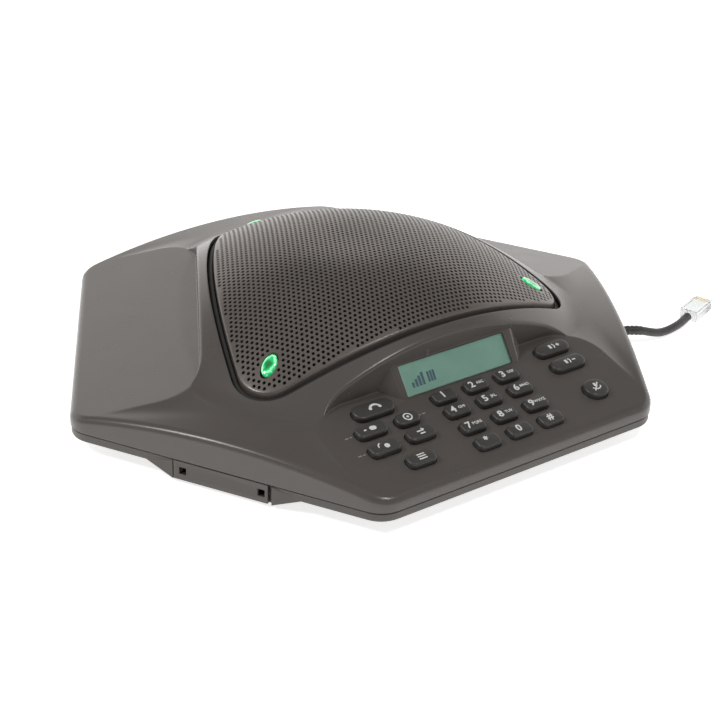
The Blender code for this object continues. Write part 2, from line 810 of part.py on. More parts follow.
def board_screw_places():
    """Plan places of the two screws that hold the main board, under the right and left lobes."""
    return [turn((0.0, -BOARD_SCREW_R), lobe * math.pi / 3) for lobe in (2, 4)]


def around(centre, half):
    return (centre - half, centre + half)


def side_box(turns, lats, ds, zs):
    """Box on one side: spans across the side, out from the centre and in height."""
    outline = [side_place(turns, ds[1], lats[0], 0), side_place(turns, ds[1], lats[1], 0),
               side_place(turns, ds[0], lats[1], 0), side_place(turns, ds[0], lats[0], 0)]
    return Shape().prism([(x, y) for x, y, _ in outline], *zs)


FOOT_SIZE = (40.0, 10.0)
FOOT_Z = (0.0, 2.0)


def foot_outline(lobe, grow):
    w, h = FOOT_SIZE
    points = []
    for x, y in rounded_rect(w + 2 * grow, h + 2 * grow, h / 2 + grow, 4):
        points.append(turn((x, y - FOOT_D), lobe * math.pi / 3))
    return points


CASE_TOP = SEAM_Z - GAP
CASE_FLOOR_Z = BASE_Z + FLOOR
LIP_Z = CASE_TOP + 1.0     # lip that centres the top cover
SEAT_HALF = BAY_HALF - 0.2
SCREW_BOSS_R = 5.5
LEG_BOSS_R = 5.5
BOARD_BOSS_R = 3.6
HEAD_POCKET_R = 3.7
MOUTH_Z = 11.0             # top of the case's opening behind a port panel
# (inset, height) of the case's profile: up the outside, over the lip, down the inside
CASE_PROFILE = ((BASE_INSET, BASE_Z), (3.0, RIM_Z - 0.3), (1.2, RIM_Z), (0.4, RIM_Z + 0.8),
                (0.4, CASE_TOP), (2.8, CASE_TOP), (2.8, LIP_Z), (4.2, LIP_Z), (4.6, RIM_Z + 2.6),
                (BASE_INSET + 1.5, CASE_FLOOR_Z))


def case_outline(inset):
    """The outline set in by inset; beyond the corner radius the whole hexagon is scaled."""
    if inset < CORNER_R:
        return hex_edge(inset, EDGE_STEPS)
    scale = (APOTHEM - inset) / APOTHEM
    return [(x * scale, y * scale) for x, y in hex_edge(0.0, EDGE_STEPS)]


def port_bay(turns):
    """Solid bulge behind one side, flared into the sloping underside."""
    points = []
    for lat in (-1, 1):
        points += [side_place(turns, APOTHEM, lat * BAY_HALF, BASE_Z),
                   side_place(turns, BAY_BACK, lat * BAY_HALF, BASE_Z),
                   side_place(turns, APOTHEM - 0.6, lat * BAY_CHEEK, RIM_Z + 0.6),
                   side_place(turns, APOTHEM, lat * BAY_HALF, CASE_TOP),
                   side_place(turns, BAY_BACK, lat * BAY_CHEEK, RIM_Z + 0.6)]
    return Shape().hull(points)


def case_bosses():
    shape = Shape()
    for place in case_screw_places():
        shape.prism(circle(SCREW_BOSS_R, 14, place), 5.2, CASE_TOP)
    for place in leg_places():
        shape.prism(circle(LEG_BOSS_R, 14, place), 3.0, LEG_FOOT_Z - GAP)
    for place in board_screw_places():
        shape.prism(circle(BOARD_BOSS_R, 10, place), 3.0, MAIN_BOARD_Z[0] - GAP)
    return shape


def case_pockets():
    """Pockets for the screw heads and feet, and the blind holes of the board's screws."""
    shape = Shape()
    for place in case_screw_places():
        shape.prism(circle(HEAD_POCKET_R, 12, place), -1.0, HEAD_POCKET_Z)
    for lobe in (0, 2, 4):
        shape.prism(foot_outline(lobe, GAP), 0.5, FOOT_Z[1] + GAP)
    for place in board_screw_places():
        shape.prism(circle(SCREW_HOLE_R, 8, place), 5.5, 14.0)
    return shape


def case_shafts():
    shape = Shape()
    for place in case_screw_places():
        shape.prism(circle(SCREW_HOLE_R, 8, place), HEAD_POCKET_Z - 1, CASE_TOP + 1)
    for place in leg_places():
        shape.prism(circle(LEG_PIN_R + GAP, 8, place), LEG_PIN_Z - 0.5, LEG_FOOT_Z + 1)
    return shape


def case_mouths():
    """Openings from the bay hollows to the backs of the port panels."""
    depth = (BAY_HOLLOW_D[1] - 2, SEAT_D + 1)
    mouths = []
    for side, lat in JACK_LAT.items():
        lats = around(lat, JACK_HALF + 0.4)
        mouths.append(side_box(SIDES[side], lats, depth, (CASE_FLOOR_Z, MOUTH_Z)))
    mouths.append(side_box(SIDES["left"], (-20.0, 20.0), depth, (CASE_FLOOR_Z, MOUTH_Z - 1.5)))
    return join(mouths)


def build_bottom_case(mat):
    shape = Shape().loft([at_height(case_outline(inset), z) for inset, z in CASE_PROFILE])
    case = add_object("bottom_case", shape, mat, round_angle=28)
    boolean(case, "UNION", join([port_bay(turns) for turns in SIDES.values()]), "bays")
    lats = (-BAY_HOLLOW_HALF, BAY_HOLLOW_HALF)
    hollows = [side_box(turns, lats, BAY_HOLLOW_D, (CASE_FLOOR_Z, 15.0)) for turns in SIDES.values()]
    boolean(case, "DIFFERENCE", join(hollows), "bay_hollows")
    boolean(case, "UNION", case_bosses(), "bosses")
    boolean(case, "DIFFERENCE", case_pockets(), "pockets")
    lats = (-SEAT_HALF, SEAT_HALF)
    seats = [side_box(turns, lats, (SEAT_D, APOTHEM + 2), (0.5, 14.0)) for turns in SIDES.values()]
    boolean(case, "DIFFERENCE", join(seats), "panel_seats")
    boolean(case, "DIFFERENCE", case_shafts(), "screw_holes")
    boolean(case, "DIFFERENCE", case_mouths(), "mouths")


def build_feet(mat):
    for name, lobe in (("front", 0), ("right", 2), ("left", 4)):
        shape = Shape().prism(foot_outline(lobe, 0.0), *FOOT_Z)
        add_object(f"foot_{name}", shape, mat)


SNAP_SQUARES = (-18.8, 18.8)
SNAP_HALF = 1.7
SNAP_Z = 6.5
SNAP_DEPTH = 1.0


def build_port_panels(mat):
    half = SEAT_HALF - GAP
    z_span = (BASE_Z + 0.2, SEAM_Z - GAP)
    for side, turns in SIDES.items():
        name = "port_cover" if side == "left" else f"port_panel_{side}"
        depth = (APOTHEM - PANEL_THICK, APOTHEM)
        panel = add_object(name, side_box(turns, (-half, half), depth, z_span), mat)
        if side == "left":
            cuts = [side_box(turns, around(s, SNAP_HALF), (APOTHEM - SNAP_DEPTH, APOTHEM + 1),
                             around(SNAP_Z, SNAP_HALF)) for s in SNAP_SQUARES]
        else:
            lats = around(JACK_LAT[side], PORT_HALF)
            cuts = [side_box(turns, lats, (APOTHEM - 3, APOTHEM + 1), PORT_Z)]
        boolean(panel, "DIFFERENCE", join(cuts), "cuts")


def build_jacks(mat):
    for side, lat in JACK_LAT.items():
        shape = side_box(SIDES[side], around(lat, JACK_HALF), JACK_D, JACK_Z)
        jack = add_object(f"link_jack_{side}", shape, mat)
        hollow = side_box(SIDES[side], around(lat, SOCKET_HALF), (SOCKET_BACK, JACK_D[1] + 1), SOCKET_Z)
        boolean(jack, "DIFFERENCE", hollow, "socket")


def tube(path, radius, steps=10):
    """Closed tube along a list of points, its sections square to the path."""
    rings = []
    for i, p in enumerate(path):
        before = Vector(path[max(i - 1, 0)])
        after = Vector(path[min(i + 1, len(path) - 1)])
        along = (after - before).normalized()
        side = along.cross(Vector((0, 0, 1))).normalized()
        up = side.cross(along)
        ring = []
        for a in (2 * math.pi * k / steps for k in range(steps)):
            ring.append(Vector(p) + radius * (math.cos(a) * side + math.sin(a) * up))
        rings.append(ring)
    return Shape().loft(rings)


CABLE_POINTS = ((124.8, -55.9, 7.5), (133.0, -59.6, 6.8), (146.0, -61.6, 2.9),
                (159.0, -60.2, 2.4), (171.0, -56.0, 2.4))


def spline(points, per_span=5):
    """Smooth curve through the points (Catmull-Rom)."""
    p = [Vector(q) for q in points]
    p = [2 * p[0] - p[1]] + p + [2 * p[-1] - p[-2]]
    curve = []
    for a, b, c, d in zip(p, p[1:], p[2:], p[3:]):
        for i in range(per_span):
            t = i / per_span
            curve.append(0.5 * (2 * b + (c - a) * t + (2 * a - 5 * b + 4 * c - d) * t * t
                                + (3 * b - a - 3 * c + d) * t ** 3))
    curve.append(p[-2])
    return curve


def build_cable(mats):
    plug = side_box(SIDES["right"], around(JACK_LAT["right"], PLUG_HALF), PLUG_D, PLUG_Z)
    add_object("cable_plug", plug, mats["plug"])
    path = spline(CABLE_POINTS)
    add_object("line_cable", tube(path, CABLE_R), mats["cable"])
    way = (path[-1] - path[-2]).normalized()
    across = way.cross(Vector((0, 0, 1))).normalized()
    start = path[-1] + way * GAP
    corners = []
    for reach in (0.0, FREE_PLUG_LONG):
        for side in (-PLUG_HALF, PLUG_HALF):
            p = start + way * reach + across * side
            corners += [(p.x, p.y, z) for z in FREE_PLUG_Z]
    add_object("free_plug", Shape().hull(corners), mats["plug"])


# ======================================================================
# inside the pod
# ======================================================================

BOARD_LOBE_REACH = 95.0    # main board, from the centre towards the lobes
BOARD_BAY_REACH = 122.0    # and towards the port bays
LEG_HOLE_R = 6.3
LED_SIZE = 4.0
LED_TOP = 15.9
CHIP_SINK = 0.4            # overlap of each soldered part with the board
# x, y, width, depth and height of the parts soldered on the main board
CHIPS = ((-20.0, -8.0, 16.0, 16.0, 1.6), (18.0, 14.0, 22.0, 12.0, 1.4),
         (38.0, 60.0, 12.0, 12.0, 6.0), (24.0, -22.0, 10.0, 8.0, 1.2))


def board_outline():
    """Main board: short towards the lobes, long towards the three port bays."""
    lat = (BOARD_LOBE_REACH - BOARD_BAY_REACH * 0.5) / math.sin(math.pi / 3)
    points = []
    for turns in (1, 3, 5):
        for s in (-lat, lat):
            points.append(turn((s, -BOARD_BAY_REACH), turns * math.pi / 3))
    return points


def build_main_board(mat):
    board = add_object("main_board", Shape().prism(board_outline(), *MAIN_BOARD_Z), mat)
    low, top = MAIN_BOARD_Z
    chips = Shape()
    for x, y, w, h, tall in CHIPS:
        outline = [(x + dx, y + dy) for dx, dy in rounded_rect(w, h, 0.5, 1)]
        chips.prism(outline, top - CHIP_SINK, top + tall)
    for turns in (1, 3, 5):
        x, y = turn((0.0, -LENS_R), turns * math.pi / 3)
        outline = [(x + dx, y + dy) for dx, dy in rounded_rect(LED_SIZE, LED_SIZE, 0.4, 1)]
        chips.prism(outline, top - CHIP_SINK, LED_TOP)
    boolean(board, "UNION", chips, "chips")
    holes = Shape()
    for place in leg_places():
        holes.prism(circle(LEG_HOLE_R, 12, place), low - 1, top + 1)
    for place in board_screw_places():
        holes.prism(circle(SCREW_HOLE_R, 8, place), low - 1, top + 1)
    boolean(board, "DIFFERENCE", holes, "holes")


CHAMBER_WALL = 2.5
CHAMBER_MOUTH_R = 43.5
GASKET_R = 44.0
GASKET_THICK = 0.8
MAGNET_R = 28.0
MAGNET_TOP = 30.9


def build_speaker(mats):
    """Sealed chamber on three legs, open at the top, with the driver hung in its mouth."""
    low, high = CHAMBER_Z
    inner = CHAMBER_R - CHAMBER_WALL
    profile = [(CHAMBER_R, low), (CHAMBER_R, high), (CHAMBER_MOUTH_R, high),
               (CHAMBER_MOUTH_R, high - 4.0), (inner, high - 6.5), (inner, low + CHAMBER_WALL)]
    chamber = add_object("speaker_chamber", Shape().turned(profile, 36), mats["inner"])
    legs = Shape()
    for place in leg_places():
        legs.turned([(LEG_PIN_R, LEG_PIN_Z), (LEG_PIN_R, LEG_FOOT_Z),
                     (LEG_SHOULDER_R, LEG_FOOT_Z), (LEG_SHOULDER_R, low + 1.0)], 12, place)
    boolean(chamber, "UNION", legs, "legs")
    bed = high + GAP
    seat = bed + GASKET_THICK
    gasket = Shape().lathe([(SPEAKER_R, bed), (SPEAKER_R, seat), (GASKET_R, seat), (GASKET_R, bed)], 36)
    add_object("speaker_gasket", gasket, mats["rubber"])
    rim = seat + GAP
    low_rim = MAGNET_TOP + GAP
    basket = Shape().lathe([(30.0, low_rim), (42.5, rim), (SPEAKER_R, rim), (SPEAKER_R, rim + 1.5),
                            (41.6, rim + 1.5), (29.0, low_rim + 1.5), (14.0, low_rim + 1.5),
                            (14.0, low_rim)], 36)
    add_object("speaker_basket", basket, mats["steel"])
    magnet = Shape().turned([(MAGNET_R, low + CHAMBER_WALL + 0.7), (MAGNET_R, MAGNET_TOP)], 32)
    add_object("speaker_magnet", magnet, mats["magnet"])
    cone = Shape().turned([(11.0, low_rim + 3.4), (40.4, rim + 0.6), (40.4, rim + 1.4),
                           (39.0, rim + 1.4), (12.0, low_rim + 5.8)], 36)
    add_object("speaker_cone", cone, mats["cone"])


CASE_HEAD_R = 3.2
CASE_HEAD_Z = (6.0, 8.0)
CASE_SCREW_TIP = 16.0
BOARD_HEAD_R = 2.8
BOARD_HEAD_THICK = 1.6
BOARD_SCREW_TIP = 6.2


def build_screws(mat):
    low, seat = CASE_HEAD_Z
    for name, place in zip(("front", "back", "left"), case_screw_places()):
        screw = Shape().turned([(CASE_HEAD_R, low), (CASE_HEAD_R, seat), (SCREW_R, seat),
                                (SCREW_R, CASE_SCREW_TIP)], 12, place)
        add_object(f"case_screw_{name}", screw, mat)
    seat = MAIN_BOARD_Z[1] + GAP
    for name, place in zip(("right", "left"), board_screw_places()):
        screw = Shape().turned([(SCREW_R, BOARD_SCREW_TIP), (SCREW_R, seat), (BOARD_HEAD_R, seat),
                                (BOARD_HEAD_R, seat + BOARD_HEAD_THICK)], 12, place)
        add_object(f"board_screw_{name}", screw, mat)


MIC_TOP = 36.0             # top of each microphone's rubber boot
MIC_DEPTH = 6.5            # its pocket
BOOT_R = 6.5
POCKET_R = 5.2
CAPSULE_R = 4.85


def build_microphones(mats):
    floor = MIC_TOP - MIC_DEPTH
    for name, turns in (("right", 1), ("back", 3), ("left", 5)):
        place = turn((0.0, -MIC_R), turns * math.pi / 3)
        boot = Shape().turned([(BOOT_R, MAIN_BOARD_Z[1] + GAP), (BOOT_R, MIC_TOP), (POCKET_R, MIC_TOP),
                               (POCKET_R, floor)], 16, place)
        add_object(f"mic_boot_{name}", boot, mats["rubber"])
        capsule = Shape().turned([(CAPSULE_R, floor + GAP), (CAPSULE_R, MIC_TOP + GAP)], 16, place)
        add_object(f"microphone_{name}", capsule, mats["steel"])


def materials():
    return {
        "cover": material("cover_grey", (0.115, 0.108, 0.102), 0.42),
        "case": material("case_grey", (0.085, 0.080, 0.076), 0.48),
        "grille": material("grille_grey", (0.080, 0.075, 0.070), 0.45, 0.3),
        "key": material("key_charcoal", (0.028, 0.028, 0.029), 0.38),
        "rubber": material("black_rubber", (0.012, 0.012, 0.012), 0.75),
        "silicone": material("silicone_grey", (0.20, 0.20, 0.21), 0.6),
        "clear": material("window_clear", (0.55, 0.70, 0.62), 0.08),
        "lcd": material("display_green", (0.14, 0.29, 0.22), 0.3),
        "lens": material("lens_green", (0.05, 0.62, 0.20), 0.15),
        "board": material("circuit_board", (0.02, 0.14, 0.06), 0.4),
        "inner": material("inner_plastic", (0.03, 0.03, 0.03), 0.55),
        "steel": material("zinc_steel", (0.55, 0.55, 0.56), 0.35, 0.9),
        "magnet": material("ferrite", (0.07, 0.07, 0.075), 0.6),
        "cone": material("cone_paper", (0.045, 0.042, 0.040), 0.9),
        "jack": material("jack_plastic", (0.02, 0.02, 0.022), 0.5),
        "plug": material("plug_clear", (0.45, 0.47, 0.48), 0.15),
        "cable": material("cable_black", (0.018, 0.018, 0.019), 0.5),
    }


def main():
    for obj in list(bpy.data.objects):
        bpy.data.objects.remove(obj, do_unlink=True)
    mats = materials()
    build_top_cover(mats["cover"])
    build_bottom_case(mats["case"])
    build_grille(mats["grille"])
    build_seal(mats["rubber"])
    build_lenses(mats["lens"])
    build_display(mats)
    build_keys(mats["key"])
    build_keypad_inside(mats)
    build_feet(mats["rubber"])
    build_port_panels(mats["case"])
    build_jacks(mats["jack"])
    build_cable(mats)
    build_main_board(mats["board"])
    build_speaker(mats)
    build_screws(mats["steel"])
    build_microphones(mats)


main()
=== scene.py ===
"""Looks of the conference speakerphone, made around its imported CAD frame.

Lengths are millimetres from the pod's centre until a mesh is made, where MM turns them into
metres and CENTRE puts them in the CAD's frame.
The pod has three lobes (front, right, left) and three port sides between them (right, back,
left). Each is known by its turns: steps of 60 degrees from the front lobe, which faces -Y.
"""

import functools
import json
import math

import bmesh
import bpy
from mathutils import Matrix, Vector
from mathutils.geometry import delaunay_2d_cdt


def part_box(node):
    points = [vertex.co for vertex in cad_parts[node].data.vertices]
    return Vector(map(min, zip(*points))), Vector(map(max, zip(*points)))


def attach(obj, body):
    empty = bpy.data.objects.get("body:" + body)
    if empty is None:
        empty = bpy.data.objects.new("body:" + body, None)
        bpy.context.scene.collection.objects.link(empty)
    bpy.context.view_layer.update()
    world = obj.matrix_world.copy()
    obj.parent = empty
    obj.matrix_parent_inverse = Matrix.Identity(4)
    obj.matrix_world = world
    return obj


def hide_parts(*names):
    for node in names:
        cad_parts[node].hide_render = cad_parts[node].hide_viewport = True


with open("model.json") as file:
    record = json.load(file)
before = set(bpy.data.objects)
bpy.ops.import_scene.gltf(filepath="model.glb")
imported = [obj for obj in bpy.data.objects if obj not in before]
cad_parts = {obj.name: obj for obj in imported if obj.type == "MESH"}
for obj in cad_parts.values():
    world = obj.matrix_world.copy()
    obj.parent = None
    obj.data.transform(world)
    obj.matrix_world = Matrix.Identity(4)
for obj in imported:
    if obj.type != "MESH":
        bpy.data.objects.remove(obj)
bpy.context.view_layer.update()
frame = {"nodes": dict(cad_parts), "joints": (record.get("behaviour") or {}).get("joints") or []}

MM = 0.001
POD = "pod"


def pod_centre():
    """Centre of the hexagon in the CAD's frame, on the table."""
    low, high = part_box("top_cover")
    return Vector(((low.x + high.x) / 2, (low.y + high.y) / 2, 0.0)) / MM


CENTRE = pod_centre()


def box_mm(node):
    low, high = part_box(node)
    return low / MM - CENTRE, high / MM - CENTRE


def middle(node):
    low, high = box_mm(node)
    return (low + high) / 2


# ---- taken from the frame ----
COVER_LOW = box_mm("top_cover")[0]
APOTHEM = -COVER_LOW.y
SEAM_Z = COVER_LOW.z
DOME_TOP = box_mm("speaker_grille")[1].z
LENS_R = middle("status_lens_back").y
LENS_WIDE, LENS_LONG = (box_mm("status_lens_back")[1] - box_mm("status_lens_back")[0]).xy
PRESS = next(j for j in frame["joints"] if j["child"] == "key_5")["axis"]
PANEL_TILT = math.atan2(PRESS[1], -PRESS[2])

# ---- body ----
CORNER_R = 13.3            # plan radius of the six corners
HALF_SIDE = APOTHEM * math.tan(math.pi / 6)
STRAIGHT = HALF_SIDE - CORNER_R * math.tan(math.pi / 6)
SKIN = 2.5                 # wall thickness of the top cover
RIM_Z = 6.8                # lower edge of the side band
EDGE_R = 3.2               # plan width of the rounding along the upper edge
CHAMFER = 0.35             # on the cover's lower edge
INNER_ROUND = 1.0          # bevel along the cover's inner edge
BASE_Z = 1.5               # underside of the case
BASE_INSET = 18.0          # how far the underside stays inside the outline

# ---- upper surface: a dome, blended with the flank over each port side ----
DOME_K = 0.00369           # fall per squared distance from the centre
CROWN_DROP = 2.8           # how much lower the flattened crown is than the dome
CROWN_R = 28.0
DOME_Z = DOME_TOP + CROWN_DROP
FLANK_Z = 25.5             # height at the middle of a side's edge
FLANK_RISE = 0.13
FLANK_K = 0.00145          # fall per squared distance along the side
BLEND = 2.0

# ---- lobe panels ----
PANEL_Y = -88.0            # a line of the sloping panel and its height
PANEL_Z = 27.0
WALL_Y = -72.5             # the wall behind the panel: its place and straight half
WALL_HALF = 55.0
PANEL_HALF = 77.0
PANEL_CORNER_Y = -92.0     # where the rounded corner meets the panel's side
BROW_R = 1.1               # rounding along the wall's top
FOOT_R = 0.6               # fillet along its foot
LOW_WALL = 0.3             # a wall lower than this isn't drawn
RAMP = 26.0                # width over which a side field leaves a panel's border
CREASE = 1.6               # how sharply it falls away there
ROW_MIDDLES = (103.0, 107.0, 110.5, 114.0, 117.5, 121.0, 124.5)  # a side field's rows, mid side
CORNER_MARKS = 4           # marks of ROW_MIDDLES that the rounded corner takes up

# ---- grille ----
GRILLE_ARC_R = 326.0       # radius of its three long sides
GRILLE_INNER = 65.4        # their nearest distance from the centre
GRILLE_TIP_R = 17.0
GRILLE_EDGE = -0.5         # the sheet's edge, grown from the edge line
GROOVE = 2.6               # the cover's opening, grown from the edge line
LIP_R = 0.6
HOLE_PITCH = 2.5
HOLE_R = 0.74
HOLE_DEPTH = 1.2
HOLE_MARGIN = 0.15         # plain sheet left between the cells and the rounded rim
RIM_FALL = 4.5             # height of the sheet's turned-down rim
RIM_WALL = 1.6
UNDER_FALL = 2.4           # the sheet's underside, below its top
LENS_GAP = 0.35            # the sheet's clearance round a lens
LENS_BORDER = 0.7          # plain sheet between a lens and the cells
LENS_SEAT = 1.6            # depth of a lens's seat
# a lens's section: share of its plan size and height over the dome
LENS_SECTION = ((1.0, -1.3), (1.0, 0.0), (0.97, 0.35), (0.88, 0.62), (0.72, 0.8), (0.5, 0.9),
                (0.25, 0.95))
SEAL_FOOT = 5.0            # the seal's depths below the cover
SEAL_SHOULDER = 3.2
SEAL_CROWN = 0.9           # its rise over the shoulders

# ---- keys ----
CAP_RISE = 3.0             # top of the legends over the panel
CAP_CROWN = 0.45
CAP_ROUND = 1.1
CAP_FOOT = -3.5            # the flange that keeps a cap in its hole
CAP_SHOULDER = -2.8
FLANGE_WIDER = 2.4
FLANGE_HIGHER = 1.6
KEY_CLEAR = 0.35           # gap between a cap and its hole
KEY_CUT = 6.0              # reach of a key hole's cutter, both ways
PRINT = 0.12               # legends stand this much above the cap
PRINT_ROOT = 0.1           # and start this much below its surface
DIGIT_HIGH = 3.6
LETTERS_HIGH = 1.5
DIGIT_X = -2.5             # a digit's place beside its letters
LETTERS_X = 2.1
LONE_DIGIT_X = -0.8
LETTERS = {
    "1": "", "2": "ABC", "3": "DEF", "4": "GHI", "5": "JKL", "6": "MNO", "7": "PQRS", "8": "TUV",
    "9": "WXYZ", "0": "", "*": "", "#": "",
}

# ---- display and its island ----
LCD_TILT = math.radians(53.0)
WINDOW_GAP = 0.3           # between the window and its opening
LCD_W = box_mm("display_window")[1].x - box_mm("display_window")[0].x + 2 * WINDOW_GAP
LCD_H = 14.7
MARK_Z = (-1.96, -1.90)    # marks on the display's face, below the window
ISLAND_LEFT = -29.0
ISLAND_RIGHT = 35.0
ISLAND_FRONT = -82.3
ISLAND_BACK = -71.0
ISLAND_LOW = 26.5
ISLAND_TOP_FLARE = 2.0     # each cheek leans out by this much to the back
ISLAND_FOOT_FLARE = 9.0

# ---- bottom case and ports, per port side ----
SIDES = {"right": 1, "back": 3, "left": 5}
LOBES = {"front": 0, "right": 2, "left": 4}
CASE_TOP = SEAM_Z - 0.3
FLOOR_Z = BASE_Z + 2.2     # inner face of the case's floor
SCREW_POCKET_R = 3.7
SCREW_POCKET_Z = 8.3
SCREW_BOSS_R = 5.5
SCREW_BOSS_Z = 5.2
FOOT_POCKET_Z = 2.3
BAY_HALF = 23.9            # half width of a port bay, and of the bay with its cheeks
BAY_CHEEK = 38.0
BAY_INNER = 108.0
HOLLOW_HALF = 21.5         # the room behind a port plate
HOLLOW_INNER = 104.0
HOLLOW_OUTER = 126.0
HOLLOW_TOP = 15.0
SEAT_INNER = 127.9         # a port plate sits in front of this
PLATE_THICK = 1.8
JACK_LAT = {"right": 14.0, "back": 0.0}
MOUTH_HALF = 7.2           # opening of the case in front of a jack
MOUTH_TOP = 11.0
BLANK_MOUTH_HALF = 20.0
BLANK_MOUTH_TOP = 9.5
JACK_HALF = 5.3            # opening of the plate in front of a jack
JACK_Z = (4.3, 10.3)
PEEP_HALF = 1.7            # the two square windows of the blank cover
PEEP_LAT = 18.8
PEEP_Z = (4.8, 8.2)
BOARD_TOP = 13.7           # upper face of the main board's sheet

# ---- cable and plugs ----
CABLE_R = 2.1
RIB = 0.28                 # height of the strain relief's ribs over the jacket
CABLE_POINTS = ((124.8, -55.9, 7.5), (133.0, -59.6, 6.8), (146.0, -61.6, 2.9),
                (159.0, -60.2, 2.4), (171.0, -56.0, 2.4))
PLUG_HALF = 4.8
PLUG_LONG = 17.9
PLUG_Z = (0.3, 6.0)
PLUGGED_Y = (115.2, 132.5)
PLUGGED_Z = (4.9, 10.0)
CONTACT_PITCH = 1.5

# ---- studio ----
FLOOR_REACH = 3000.0
SIGHT = math.radians(53.68)  # plan direction of the line of sight
DIM = 0.20                 # the world's strength above and in front
BACKDROP = 1.3             # and behind the pod
WARM = (1.0, 0.975, 0.95)  # tint of what the pod mirrors
LIGHTS = {                 # place in metres from the pod's centre, side in metres, power in watts
    "overhead": ((-0.1, 0.2, 1.5), 1.3, 1.0),
    "upper_left": ((-0.99, 0.22, 1.10), 0.25, 6.5),
    "upper_front": ((0.20, -0.55, 1.2), 0.2, 4.0),
}
CAMERA_PLACE = (-0.4470, -0.6162, 0.4189)  # in metres from the pod's centre
CAMERA_PITCH = math.radians(28.70)
CAMERA_ROLL = math.radians(1.74)
CAMERA_LENS = 90.0

# ---- mesh density ----
WALL_STEPS = 44            # along the wall of a lobe
TIP_STEPS = 40             # across a port side, from lobe to lobe
BAND_STEPS = 8             # from the groove round the grille to the wall
CORNER_STEPS = 16          # round a panel's inner corner
SIDE_STEPS = 4             # per stretch of a panel's straight side
ARC_STEPS = 8              # round a corner of the pod
FILLET_STEPS = 4
EDGE_STEPS = (8, TIP_STEPS)  # along a lobe's edge and a port side's
CASE_STEPS = (8, 24)
RING_STEPS = 240           # round the grille
HOLE_SIDES = 12
SHARP_ANGLE = math.radians(30)            # a bevel rounds edges sharper than this
LOBE_ANGLES = [n * 2 * math.pi / 3 for n in range(3)]


# ======== geometry helpers, in millimetres ========

def turn(point, angle):
    """A point turned about the Z axis."""
    c, s = math.cos(angle), math.sin(angle)
    return (c * point[0] - s * point[1], s * point[0] + c * point[1], *point[2:])


def smooth(t):
    t = min(max(t, 0.0), 1.0)
    return t * t * (3 - 2 * t)


def between(values, u):
    """Straight-line reading of a list at the fractional index u."""
    i = min(int(u), len(values) - 2)
    return values[i] + (values[i + 1] - values[i]) * (u - i)


def rounded_rect(width, height, radius, steps=6):
    points = []
    for quarter, (sx, sy) in enumerate(((1, 1), (-1, 1), (-1, -1), (1, -1))):
        for i in range(steps + 1):
            a = (quarter + i / steps) * math.pi / 2
            points.append((sx * (width / 2 - radius) + radius * math.cos(a),
                           sy * (height / 2 - radius) + radius * math.sin(a)))
    return points


def ellipse(radius_x, radius_y, steps, centre=(0.0, 0.0)):
    angles = [2 * math.pi * i / steps for i in range(steps)]
    return [(centre[0] + radius_x * math.cos(a), centre[1] + radius_y * math.sin(a)) for a in angles]


def circle(radius, steps, centre):
    return ellipse(radius, radius, steps, centre)


def quarter_turn(steps):
    """Angles from 0 to 90 degrees."""
    return [i / steps * math.pi / 2 for i in range(steps + 1)]


def at_height(outline, z):
    return [(x, y, z) for x, y in outline]


